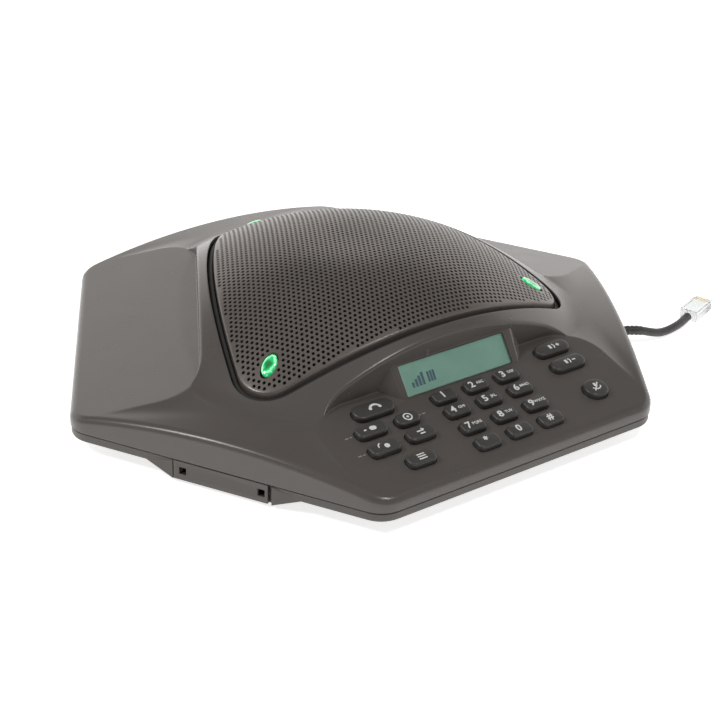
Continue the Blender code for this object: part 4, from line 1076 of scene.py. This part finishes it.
def in_lens(x, y, grow):
    for turns in SIDES.values():
        across, low = turn((x, y), -turns * math.pi / 3)
        along = -low - LENS_R
        if (along / (LENS_LONG / 2 + grow)) ** 2 + (across / (LENS_WIDE / 2 + grow)) ** 2 < 1:
            return True
    return False


class Lattice:
    """Hexagonal cells of the perforation, in plan."""

    def __init__(self):
        self.side = HOLE_PITCH / math.sqrt(3)
        self.row = HOLE_PITCH * math.sqrt(3) / 2
        reach = int(APOTHEM / HOLE_PITCH)
        cells = [(i, j) for j in range(-reach, reach + 1) for i in range(-reach, reach + 1)]
        self.used = {cell for cell in cells if all(self.allowed(*p) for p in self.corners(*cell))}
        cut = [self.centre(*cell) for cell in cells if cell not in self.used]
        # holes that fit though the rim or a lens cuts their cell
        self.rim_holes = [place for place in cut if self.allowed(*place, HOLE_R)]

    def centre(self, i, j):
        return ((i + 0.5 * (j % 2)) * HOLE_PITCH, j * self.row)

    def corners(self, i, j):
        x, y = self.centre(i, j)
        places = []
        for k in range(6):
            a = math.radians(30 + 60 * k)
            places.append((x + self.side * math.cos(a), y + self.side * math.sin(a)))
        return places

    @staticmethod
    def allowed(x, y, radius=0.0):
        """Whether the perforation may reach a plan point, or a circle round it."""
        edge = grille_radius(math.atan2(y, x), GRILLE_EDGE - LIP_R - radius - HOLE_MARGIN)
        return math.hypot(x, y) < edge and not in_lens(x, y, radius + LENS_BORDER)

    def holds(self, x, y):
        """Whether a plan point lies in a used cell."""
        middle_row = round(y / self.row)
        near = []
        for j in (middle_row - 1, middle_row, middle_row + 1):
            i = round(x / HOLE_PITCH - 0.5 * (j % 2))
            near.append((math.dist((x, y), self.centre(i, j)), (i, j)))
        return min(near)[1] in self.used

    def outline_edges(self):
        """Edges that belong to one used cell only, as pairs of corner points."""
        seen = {}
        for cell in sorted(self.used):
            corners = self.corners(*cell)
            for a, b in zip(corners, corners[1:] + corners[:1]):
                key = frozenset(((round(a[0], 3), round(a[1], 3)), (round(b[0], 3), round(b[1], 3))))
                seen.setdefault(key, []).append((a, b))
        return [pairs[0] for pairs in seen.values() if len(pairs) == 1]


def on_dome(x, y, fall=0.0):
    return (x, y, dome_height(x, y) - fall)


def grille_ring(grow, fall):
    """The grille's edge line, grown outwards, at a depth below the dome."""
    places = [grille_point(2 * math.pi * i / RING_STEPS, grow) for i in range(RING_STEPS)]
    return [on_dome(x, y, fall) for x, y in places]


def hole_well(shape, centre):
    """A hole's wall and the cloth at its bottom."""
    normal = dome_normal(*centre)
    rim = [on_dome(*p) for p in circle(HOLE_R, HOLE_SIDES, centre)]
    well = [Vector(p) - normal * HOLE_DEPTH for p in rim]
    shape.bands([rim, well])
    shape.plate(well, slot=1)


def perforations(shape, lattice):
    """Sheet and hole of each whole cell, and the wells of the holes along the rim."""
    for cell in sorted(lattice.used):
        centre = lattice.centre(*cell)
        corners = [on_dome(*p) for p in lattice.corners(*cell)]
        rim = [on_dome(*p) for p in circle(HOLE_R, HOLE_SIDES, centre)]
        faces = []
        for k in range(6):
            arc = [6 + (2 * k + step) % HOLE_SIDES for step in (3, 2, 1)]
            faces.append([k, (k + 1) % 6, *arc])
        shape.add(corners + rim, faces)
        hole_well(shape, centre)
    for centre in lattice.rim_holes:
        hole_well(shape, centre)


def plain_border(shape, lattice):
    """Sheet between the perforated cells, the rounded rim and the lens holes."""
    points, edges = [], []

    def loop(outline):
        base = len(points)
        points.extend(Vector(p[:2]) for p in outline)
        edges.extend((base + i, base + (i + 1) % len(outline)) for i in range(len(outline)))

    loop(grille_ring(GRILLE_EDGE - LIP_R, 0))
    for turns in SIDES.values():
        loop(lens_oval(turns, LENS_GAP))
    for centre in lattice.rim_holes:
        loop(circle(HOLE_R, HOLE_SIDES, centre))
    for a, b in lattice.outline_edges():
        points.extend((Vector(a), Vector(b)))
        edges.append((len(points) - 2, len(points) - 1))
    made = delaunay_2d_cdt(points, edges, [], 0, 1e-3)
    verts, faces = made[0], made[2]
    kept = []
    for face in faces:
        x = sum(verts[i].x for i in face) / len(face)
        y = sum(verts[i].y for i in face) / len(face)
        inside = math.hypot(x, y) < grille_radius(math.atan2(y, x), GRILLE_EDGE - LIP_R)
        in_hole = any(math.hypot(x - hx, y - hy) < 0.96 * HOLE_R for hx, hy in lattice.rim_holes)
        if inside and not in_hole and not in_lens(x, y, LENS_GAP) and not lattice.holds(x, y):
            kept.append(list(face))
    shape.add([on_dome(v.x, v.y) for v in verts], kept)


def build_grille(mats):
    lattice = Lattice()
    shape = Shape()
    perforations(shape, lattice)
    plain_border(shape, lattice)
    rim = [grille_ring(GRILLE_EDGE - LIP_R * (1 - math.sin(a)), LIP_R * (1 - math.cos(a)))
           for a in quarter_turn(FILLET_STEPS)]
    rim += [grille_ring(GRILLE_EDGE, RIM_FALL), grille_ring(GRILLE_EDGE - RIM_WALL, RIM_FALL),
            grille_ring(GRILLE_EDGE - RIM_WALL, UNDER_FALL)]
    shape.bands(rim)
    shares = (1.0, 0.8, 0.6, 0.4, 0.2)
    under = [[on_dome(s * x, s * y, UNDER_FALL) for x, y, _ in rim[-1]] for s in shares]
    shape.bands(under)
    shape.plate(under[-1])
    for turns in SIDES.values():
        top, low = [[on_dome(*p, fall) for p in lens_oval(turns, LENS_GAP)] for fall in (0, LENS_SEAT)]
        shape.bands([top, low])
        shape.plate(low, slot=1)
    grille = make("grille_sheet", shape, [mats["grille"], mats["cloth"]], smooth_angle=40)
    piece(grille, "grille", "speaker_grille", even=False)


def build_seal(mats):
    """Rubber that fills the groove round the grille, with a rounded crown."""
    def ring(grow, fall):
        return [(x, y, body_height(x, y) - fall) for x, y, _ in grille_ring(grow, 0)]

    inner, outer = GRILLE_EDGE + 0.3, GROOVE - 0.3
    steps = 6
    rings = [ring(outer, SEAL_FOOT)]
    for j in range(steps + 1):
        a = math.pi * j / steps
        rings.append(ring((inner + outer) / 2 + (outer - inner) / 2 * math.cos(a),
                          SEAL_SHOULDER - SEAL_CROWN * math.sin(a)))
    rings.append(ring(inner, SEAL_FOOT))
    seal = make("seal_ring", Shape().loft(rings, caps=False), [mats["rubber"]], smooth_angle=60)
    piece(seal, "rubber", "grille_seal")


def build_lenses(mats):
    for side, turns in SIDES.items():
        place = side_place(turns, LENS_R, 0.0, dome_height(0.0, LENS_R))
        slope = Vector((0, 0, 1)).rotation_difference(dome_normal(*place[:2])).to_matrix().to_4x4()
        matrix = (Matrix.Translation(place) @ slope @ Matrix.Rotation(turns * math.pi / 3, 4, "Z"))
        rings = [at_height(ellipse(share * LENS_WIDE / 2, share * LENS_LONG / 2, 40), z)
                 for share, z in LENS_SECTION]
        lens = make(f"lens_{side}", Shape().loft(rings), [mats["lens"]], matrix, smooth_angle=60)
        piece(lens, "lens", f"status_lens_{side}")


# ======== display ========

def upright(left, width, low, high):
    """Plan outline of an upright rectangle."""
    return [(left, low), (left + width, low), (left + width, high), (left, high)]


def build_display(mats):
    glass = Shape().prism(rounded_rect(LCD_W - 2 * WINDOW_GAP, LCD_H - 2 * WINDOW_GAP, 0.6), -1.6, -0.4)
    window = make("display_glass", glass.bevelled(0.2), [mats["window"]], lcd_matrix())
    piece(window, "window", "display_window")
    face = Shape().prism(rounded_rect(LCD_W - 0.5, LCD_H - 0.5, 0.4), -2.2, -1.95)
    face = make("display_face", face.bevelled(0.08, 2), [mats["display"]], lcd_matrix())
    piece(face, "display")
    marks = Shape()
    for k in range(4):                       # signal bars
        marks.prism(upright(-24.5 + 1.9 * k, 1.3, -4.0, -1.6 + 1.1 * k), *MARK_Z)
    for k in range(3):                       # three equal blocks beside them
        marks.prism(upright(-15.6 + 1.5 * k, 1.1, -3.6, 1.2), *MARK_Z)
    marks = make("display_marks", marks, [mats["display_ink"]], lcd_matrix())
    piece(marks, "display", even=False)


# ======== keys ========

def cap_height(x, y, w, h):
    return CAP_RISE - PRINT - CAP_CROWN * ((2 * x / w) ** 2 + (2 * y / h) ** 2) / 2


def cap_shape(w, h, radius):
    """Pillow-topped cap in its own frame, from below the cover up."""
    straight = rounded_rect(w, h, radius)
    inner = rounded_rect(w - 2 * CAP_ROUND, h - 2 * CAP_ROUND, max(radius - CAP_ROUND, 0.3))
    flange = rounded_rect(w + FLANGE_WIDER, h + FLANGE_HIGHER, radius)
    rings = [at_height(flange, CAP_FOOT), at_height(flange, CAP_SHOULDER),
             at_height(straight, CAP_SHOULDER)]
    for a in quarter_turn(6):
        share = 1 - math.cos(a)
        ring = []
        for (ox, oy), (ix, iy) in zip(straight, inner):
            top = cap_height(ix, iy, w, h)
            ring.append((ox + (ix - ox) * share, oy + (iy - oy) * share,
                         top - CAP_ROUND * (1 - math.sin(a))))
        rings.append(ring)
    for share in (0.8, 0.6, 0.4, 0.2):
        shrunk = [(x * share, y * share) for x, y in inner]
        rings.append([(x, y, cap_height(x, y, w, h)) for x, y in shrunk])
    return Shape().loft(rings)


def lay(shape, outline, w, h):
    """A flat printed patch that follows the cap's crown."""
    rings = [[(x, y, cap_height(x, y, w, h) + z) for x, y in outline] for z in (-PRINT_ROOT, PRINT)]
    shape.loft(rings, slot=1)


def bar(x, y, length, thick, angle=0.0):
    """Round-ended stroke centred at (x, y)."""
    points = rounded_rect(length, thick, thick * 0.45, 2)
    return [(x + p[0], y + p[1]) for p in (turn(q, angle) for q in points)]


def arc_band(x, y, radius, thick, start, stop, steps=14):
    """Curved stroke as one closed outline."""
    angles = [math.radians(start + (stop - start) * i / steps) for i in range(steps + 1)]
    outer, inner = [[(x + r * math.cos(a), y + r * math.sin(a)) for a in angles]
                    for r in (radius + thick / 2, radius - thick / 2)]
    return outer + inner[::-1]


def text_shape(text, height, weight):
    """Characters as a flat shape centred on the origin."""
    curve = bpy.data.curves.new("legend", "FONT")
    curve.body = text
    curve.size = height / 0.7
    curve.offset = weight
    curve.resolution_u = 3
    curve.align_x = "CENTER"
    curve.align_y = "CENTER"
    curve.extrude = 0.05
    obj = link("legend", curve)
    mesh = evaluated_mesh(obj)
    shape = Shape().add([v.co for v in mesh.vertices], [list(p.vertices) for p in mesh.polygons], slot=1)
    bpy.data.objects.remove(obj)
    bpy.data.meshes.remove(mesh)
    return shape


def print_text(shape, text, place, height, weight, cap):
    """Text at a place of a cap of size (w, h), following its crown."""
    flat = text_shape(text, height, weight)
    for v in flat.verts:
        v.x, v.y = v.x + place[0], v.y + place[1]
        v.z = cap_height(v.x, v.y, *cap) + (PRINT if v.z > 0 else -PRINT_ROOT)
    shape.join(flat)


def icon(name):
    """Generic icon strokes of a function key, as outlines round the cap's centre."""
    if name == "key_hook":
        return [arc_band(0.6, -1.2, 2.6, 1.1, 25, 155), bar(-1.9, -0.4, 1.7, 1.5, 1.1),
                bar(3.0, -0.4, 1.7, 1.5, -1.1)]
    if name == "key_function_1":
        return [bar(0.6, 0.0, 3.4, 2.3), bar(-3.4, 0.0, 1.4, 0.7)]
    if name == "key_function_2":
        return [bar(0.8, -0.3, 2.5, 2.5), arc_band(-1.2, 0.2, 1.9, 0.6, 100, 190, 8)]
    if name == "key_function_3":
        return [arc_band(0.0, 0.0, 1.9, 0.65, 0, 175), arc_band(0.0, 0.0, 1.9, 0.65, 180, 355),
                bar(0.0, 0.0, 1.2, 1.2)]
    if name == "key_function_4":
        return [bar(-0.3, 0.5, 3.6, 0.7), bar(1.2, 1.2, 1.6, 0.7, -0.7), bar(0.1, -1.1, 2.6, 0.7)]
    if name == "key_function_5":
        return [bar(0.0, 1.3, 4.2, 0.6), bar(0.0, 0.0, 4.2, 0.6), bar(0.0, -1.3, 4.2, 0.6)]
    if name.startswith("key_volume"):
        strokes = [bar(-1.3, 0.0, 1.0, 2.6), arc_band(-0.9, 0.0, 1.9, 0.6, -45, 45)]
        strokes.append(bar(3.2, 0.0, 2.0, 0.7))
        if name == "key_volume_up":
            strokes.append(bar(3.2, 0.0, 2.0, 0.7, math.pi / 2))
        return strokes
    return [bar(0.0, 0.9, 1.5, 3.0), arc_band(0.0, 0.6, 2.3, 0.6, 200, 340), bar(0.0, 0.0, 6.2, 0.7, 0.8)]


def build_keys(mats):
    for name, (x, y, w, h) in CAPS.items():
        shape = cap_shape(w, h, cap_round(name))
        short = name.removeprefix("key_")
        digit = {"star": "*", "pound": "#"}.get(short, short)
        if digit in LETTERS:
            letters = LETTERS[digit]
            place = (DIGIT_X if letters else LONE_DIGIT_X, 0.0)
            print_text(shape, digit, place, DIGIT_HIGH, 0.12, (w, h))
            if letters:
                print_text(shape, letters, (LETTERS_X, 0.1), LETTERS_HIGH, 0.03, (w, h))
        else:
            for outline in icon(name):
                lay(shape, outline, w, h)
        matrix = panel_matrix() @ Matrix.Translation((x, y, 0))
        cap = make(name.replace("key_", "cap_"), shape, [mats["key"], mats["legend"]], matrix, 50)
        piece(cap, "key", name, body=name)


def build_panel_marks(mats):
    """Small generic printed dashes beside the function keys."""
    shape = Shape()
    for name, side in (("key_function_1", -1), ("key_function_2", -1), ("key_function_3", 1)):
        x, y, w, _ = CAPS[name]
        for k, length in enumerate((1.2, 1.92)):
            outline = bar(x + side * (w / 2 + 1.9 + 2.16 * k), y + 1.2, length, 0.55)
            shape.prism(outline, -0.05, 0.04, panel_matrix())
    piece(make("panel_marks", shape, [mats["mark"]]), "cover", even=False)


# ======== bottom case, feet, ports ========

def side_box(turns, lats, ds, zs):
    """Box on one side: spans across the side, out from the centre and in height."""
    outline = [side_place(turns, ds[1], lats[0], 0), side_place(turns, ds[1], lats[1], 0),
               side_place(turns, ds[0], lats[1], 0), side_place(turns, ds[0], lats[0], 0)]
    return Shape().prism([(x, y) for x, y, _ in outline], *zs)


def joined(shapes):
    whole = Shape()
    for shape in shapes:
        whole.join(shape)
    return whole


def case_level(inset, z):
    if inset < CORNER_R:
        return at_height(hex_edge(inset, CASE_STEPS), z)
    scale = (APOTHEM - inset) / APOTHEM
    return [(x * scale, y * scale, z) for x, y in hex_edge(0.0, CASE_STEPS)]


def foot_outline(lobe, grow):
    low, high = box_mm("foot_front")
    w, h, d = high.x - low.x, high.y - low.y, -(high.y + low.y) / 2
    outline = rounded_rect(w + 2 * grow, h + 2 * grow, h / 2 + grow, 8)
    return [turn((x, y - d), lobe * math.pi / 3) for x, y in outline]


def bay(turns):
    """Bulge of the case round the ports of one side."""
    points = []
    for way in (-1, 1):
        points += [side_place(turns, APOTHEM, way * BAY_HALF, BASE_Z),
                   side_place(turns, BAY_INNER, way * BAY_HALF, BASE_Z),
                   side_place(turns, APOTHEM - 0.6, way * BAY_CHEEK, RIM_Z + 0.6),
                   side_place(turns, APOTHEM, way * BAY_HALF, CASE_TOP),
                   side_place(turns, BAY_INNER, way * BAY_CHEEK, RIM_Z + 0.6)]
    return Shape().hull(points).bevelled(0.45)


def screw_drums(radius, low, high):
    """Cylinders on the three case screws' axes."""
    shape = Shape()
    for name in ("front", "back", "left"):
        x, y, _ = middle(f"case_screw_{name}")
        shape.prism(circle(radius, 28, (x, y)), low, high)
    return shape


def case_section():
    """Half section of the case as (inset, height) points, out, up and back down inside."""
    top = CASE_TOP
    return [(BASE_INSET + 1.0, BASE_Z), (BASE_INSET, BASE_Z + 0.25), (3.4, RIM_Z - 0.6),
            (2.2, RIM_Z - 0.35), (1.2, RIM_Z), (0.65, RIM_Z + 0.4), (0.4, RIM_Z + 1.0),
            (0.4, top - 0.3), (0.7, top), (2.8, top), (2.8, top + 1.0), (4.2, top + 1.0),
            (4.6, RIM_Z + 2.6), (BASE_INSET + 1.5, FLOOR_Z)]


def port_cuts():
    """The room behind each port plate, the plates' seats and the mouths between the two."""
    room_span, room_z = (HOLLOW_INNER, HOLLOW_OUTER), (FLOOR_Z, HOLLOW_TOP)
    rooms = [side_box(turns, (-HOLLOW_HALF, HOLLOW_HALF), room_span, room_z) for turns in SIDES.values()]
    seat_half = BAY_HALF - 0.2
    seats = [side_box(turns, (-seat_half, seat_half), (SEAT_INNER, 132.0), (0.5, 14.0))
             for turns in SIDES.values()]
    mouths = [(SIDES[side], lat, MOUTH_HALF, MOUTH_TOP) for side, lat in JACK_LAT.items()]
    mouths.append((SIDES["left"], 0.0, BLANK_MOUTH_HALF, BLANK_MOUTH_TOP))
    mouths = [side_box(turns, (lat - half, lat + half), (124.0, 129.0), (FLOOR_Z, top))
              for turns, lat, half, top in mouths]
    return joined(rooms), joined(seats), joined(mouths)


def build_case(mats):
    shell = Shape().loft([case_level(*point) for point in case_section()])
    case = make("case_shell", shell, [mats["case"]])
    rooms, seats, mouths = port_cuts()
    pockets = screw_drums(SCREW_POCKET_R, -1.0, SCREW_POCKET_Z)
    for lobe in LOBES.values():
        pockets.prism(foot_outline(lobe, 0.3), 0.5, FOOT_POCKET_Z)
    steps = [("UNION", bay(turns)) for turns in SIDES.values()]
    steps += [("DIFFERENCE", rooms), ("UNION", screw_drums(SCREW_BOSS_R, SCREW_BOSS_Z, CASE_TOP)),
              ("DIFFERENCE", pockets), ("DIFFERENCE", seats), ("DIFFERENCE", mouths)]
    carve(case, steps)
    piece(case, "case", "bottom_case")


def build_feet(mats):
    section = ((-0.6, 0.0), (-0.18, 0.18), (0.0, 0.6), (0.0, 2.0))
    for name, lobe in LOBES.items():
        rings = [at_height(foot_outline(lobe, grow), z) for grow, z in section]
        foot = make(f"foot_pad_{name}", Shape().loft(rings), [mats["foot"]])
        piece(foot, "rubber", f"foot_{name}")


def plate_cut(turns, lat, half, zs):
    return side_box(turns, (lat - half, lat + half), (APOTHEM - 3, APOTHEM + 1), zs)


def build_port_plates(mats):
    half = BAY_HALF - 0.5
    for side, turns in SIDES.items():
        blank = side == "left"
        right = half - (1.5 if blank else 0.0)
        depths = (APOTHEM - PLATE_THICK, APOTHEM - 0.05)
        plate = side_box(turns, (-half, right), depths, (BASE_Z + 0.2, CASE_TOP)).bevelled(0.3)
        if blank:
            cuts = [plate_cut(turns, lat, PEEP_HALF, PEEP_Z) for lat in (-PEEP_LAT, PEEP_LAT)]
        else:
            cuts = [plate_cut(turns, JACK_LAT[side], JACK_HALF, JACK_Z)]
        obj = make("port_cover_plate" if blank else f"port_plate_{side}", plate, [mats["case"]])
        carve(obj, [("DIFFERENCE", joined(cuts))])
        piece(obj, "case", "port_cover" if blank else f"port_panel_{side}")


# ======== cable ========

def cable_path():
    """Centre line of the cable, from inside the right port out on to the table."""
    p = [Vector(q) for q in CABLE_POINTS]
    p = [2 * p[0] - p[1]] + p + [2 * p[-1] - p[-2]]
    curve = []
    steps = 12
    for a, b, c, d in zip(p, p[1:], p[2:], p[3:]):
        for i in range(steps):
            t = i / steps
            curve.append(0.5 * (2 * b + (c - a) * t + (2 * a - 5 * b + 4 * c - d) * t * t
                                + (3 * b - a - 3 * c + d) * t ** 3))
    curve.append(p[-2])
    return curve


def cable_radius(i):
    """Radius at point i of the path: ribs of the strain relief near the port."""
    return CABLE_R + (RIB if 3 < i < 14 and i % 3 else 0.0)


def tube(path):
    rings = []
    for i, p in enumerate(path):
        along = (path[min(i + 1, len(path) - 1)] - path[max(i - 1, 0)]).normalized()
        side = along.cross(Vector((0, 0, 1))).normalized()
        up = side.cross(along)
        section = circle(cable_radius(i), 24, (0.0, 0.0))
        rings.append([p + x * side + y * up for x, y in section])
    return Shape().loft(rings)


def plug_shape():
    """Modular plug pointing along +Y from the origin: body and four contacts."""
    low, high = PLUG_Z
    body = Shape().prism(upright(-PLUG_HALF, 2 * PLUG_HALF, 0, PLUG_LONG), low, high).bevelled(0.35)
    for k in range(4):
        outline = upright((k - 1.5) * CONTACT_PITCH - 0.3, 0.6, PLUG_LONG - 5, PLUG_LONG - 0.6)
        body.prism(outline, high - 0.3, high + 0.08, slot=1)
    return body


def build_cable(mats):
    path = cable_path()
    cord = make("line_cord", tube(path), [mats["cable"]], smooth_angle=60)
    piece(cord, "cable", "line_cable")
    lat = JACK_LAT["right"]
    plugged = side_box(SIDES["right"], (lat - PLUG_HALF, lat + PLUG_HALF), PLUGGED_Y, PLUGGED_Z)
    piece(make("cord_plug", plugged.bevelled(0.35), [mats["plug"]]), "plug", "cable_plug")
    way = (path[-1] - path[-2]).normalized()
    matrix = Matrix.Translation(path[-1] + way * 0.3)
    matrix.translation.z = 0.0
    matrix = matrix @ Matrix.Rotation(math.atan2(-way.x, way.y), 4, "Z")
    tail = make("tail_plug", plug_shape(), [mats["plug"], mats["contact"]], matrix)
    piece(tail, "plug", "free_plug")


# ======== CAD nodes that keep their own shape ========

KEPT = {
    "main_board": "board", "keypad_board": "key_board", "keypad_web": "silicone",
    "lcd_module": "module", "speaker_chamber": "inner", "speaker_gasket": "rubber",
    "speaker_basket": "steel", "speaker_magnet": "magnet", "speaker_cone": "cone",
    "link_jack_right": "jack", "link_jack_back": "jack",
}


def finish_kept_nodes(mats):
    for name, node in frame["nodes"].items():
        if node.hide_render:
            continue
        kind = KEPT.get(name)
        if kind is None:
            kind = "steel" if "screw" in name or "microphone" in name else "rubber"
        node.data.materials.clear()
        node.data.materials.append(mats[kind])


# ======== studio ========

def build_floor():
    corners = ((-1, -1), (1, -1), (1, 1), (-1, 1))
    shape = Shape().plate([(FLOOR_REACH * x, FLOOR_REACH * y, -0.05) for x, y in corners])
    f = Finish("studio_floor")
    pale = f.mix(f.noise(300.0), (0.90, 0.90, 0.90), (0.93, 0.93, 0.93))
    f.set(Base_Color=pale, Roughness=0.9, Emission_Color=pale, Emission_Strength=0.78)
    f.mat.cycles.emission_sampling = "NONE"
    make("studio_floor", shape, [f.mat])


def softbox(name, place, side, power):
    """Square area light aimed at the pod."""
    light = bpy.data.lights.new(name, "AREA")
    light.shape = "RECTANGLE"
    light.size = light.size_y = side
    light.energy = power
    obj = link(name, light)
    obj.location = CENTRE * MM + Vector(place)
    obj.rotation_euler = (-Vector(place)).to_track_quat("-Z", "Y").to_euler()


def studio_world():
    """Pale backdrop behind the pod that fades out from 27 to 40 degrees up, dim in front."""
    world = bpy.data.worlds.new("studio")
    bpy.context.scene.world = world
    world.use_nodes = True
    tree = world.node_tree

    def add(kind, inputs, output, **settings):
        return add_node(tree, kind, inputs, settings).outputs[output]

    def fade(value, low, high, start, stop):
        limits = {"Value": value, "From Min": low, "From Max": high, "To Min": start, "To Max": stop}
        return add("ShaderNodeMapRange", limits, "Result", interpolation_type="SMOOTHSTEP")

    direction = add("ShaderNodeTexCoord", {}, "Generated")
    height = add("ShaderNodeSeparateXYZ", {"Vector": direction}, "Z")
    back = (math.cos(SIGHT), math.sin(SIGHT), 0.0)
    ahead = add("ShaderNodeVectorMath", {0: direction, 1: back}, "Value", operation="DOT_PRODUCT")
    band = fade(height, 0.46, 0.64, 1.0, 0.0)
    behind = fade(ahead, -0.3, 0.4, 0.12, 1.0)
    glow = add("ShaderNodeMath", {0: band, 1: behind}, 0, operation="MULTIPLY")
    level = add("ShaderNodeMapRange", {"Value": glow, "To Min": DIM, "To Max": BACKDROP}, "Result")
    seen = add("ShaderNodeLightPath", {}, "Is Camera Ray")
    shown = add("ShaderNodeMapRange", {"Value": seen, "To Min": level, "To Max": 1.0}, "Result")
    backdrop = tree.nodes["Background"].inputs
    feed(tree, backdrop["Strength"], shown)
    feed(tree, backdrop["Color"], add_mix(tree, seen, WARM, (1.0, 1.0, 1.0)))


def build_studio():
    studio_world()
    bpy.context.scene.view_settings.view_transform = "Standard"
    for name, light in LIGHTS.items():
        softbox(name, *light)


def build_camera():
    """Looks down on the front lobe from its left."""
    heading = SIGHT - math.pi / 2
    flat = Vector((math.cos(heading), math.sin(heading), 0))
    ahead = Vector((-math.sin(heading), math.cos(heading), 0))
    up = Vector((0, 0, 1))
    sight = ahead * math.cos(CAMERA_PITCH) - up * math.sin(CAMERA_PITCH)
    above = ahead * math.sin(CAMERA_PITCH) + up * math.cos(CAMERA_PITCH)
    right = flat * math.cos(CAMERA_ROLL) + above * math.sin(CAMERA_ROLL)
    top = above * math.cos(CAMERA_ROLL) - flat * math.sin(CAMERA_ROLL)
    data = bpy.data.cameras.new("camera")
    data.lens = CAMERA_LENS
    data.sensor_width = 36.0
    obj = link("camera", data)
    axes = Matrix((right, top, -sight)).transposed()
    place = CENTRE * MM + Vector(CAMERA_PLACE)
    obj.matrix_world = Matrix.Translation(place) @ axes.to_4x4()
    bpy.context.scene.camera = obj


def main():
    mats = build_finishes()
    build_cover(mats)
    build_grille(mats)
    build_seal(mats)
    build_lenses(mats)
    build_display(mats)
    build_keys(mats)
    build_panel_marks(mats)
    build_case(mats)
    build_feet(mats)
    build_port_plates(mats)
    build_cable(mats)
    finish_kept_nodes(mats)
    build_floor()
    build_studio()
    build_camera()


main()
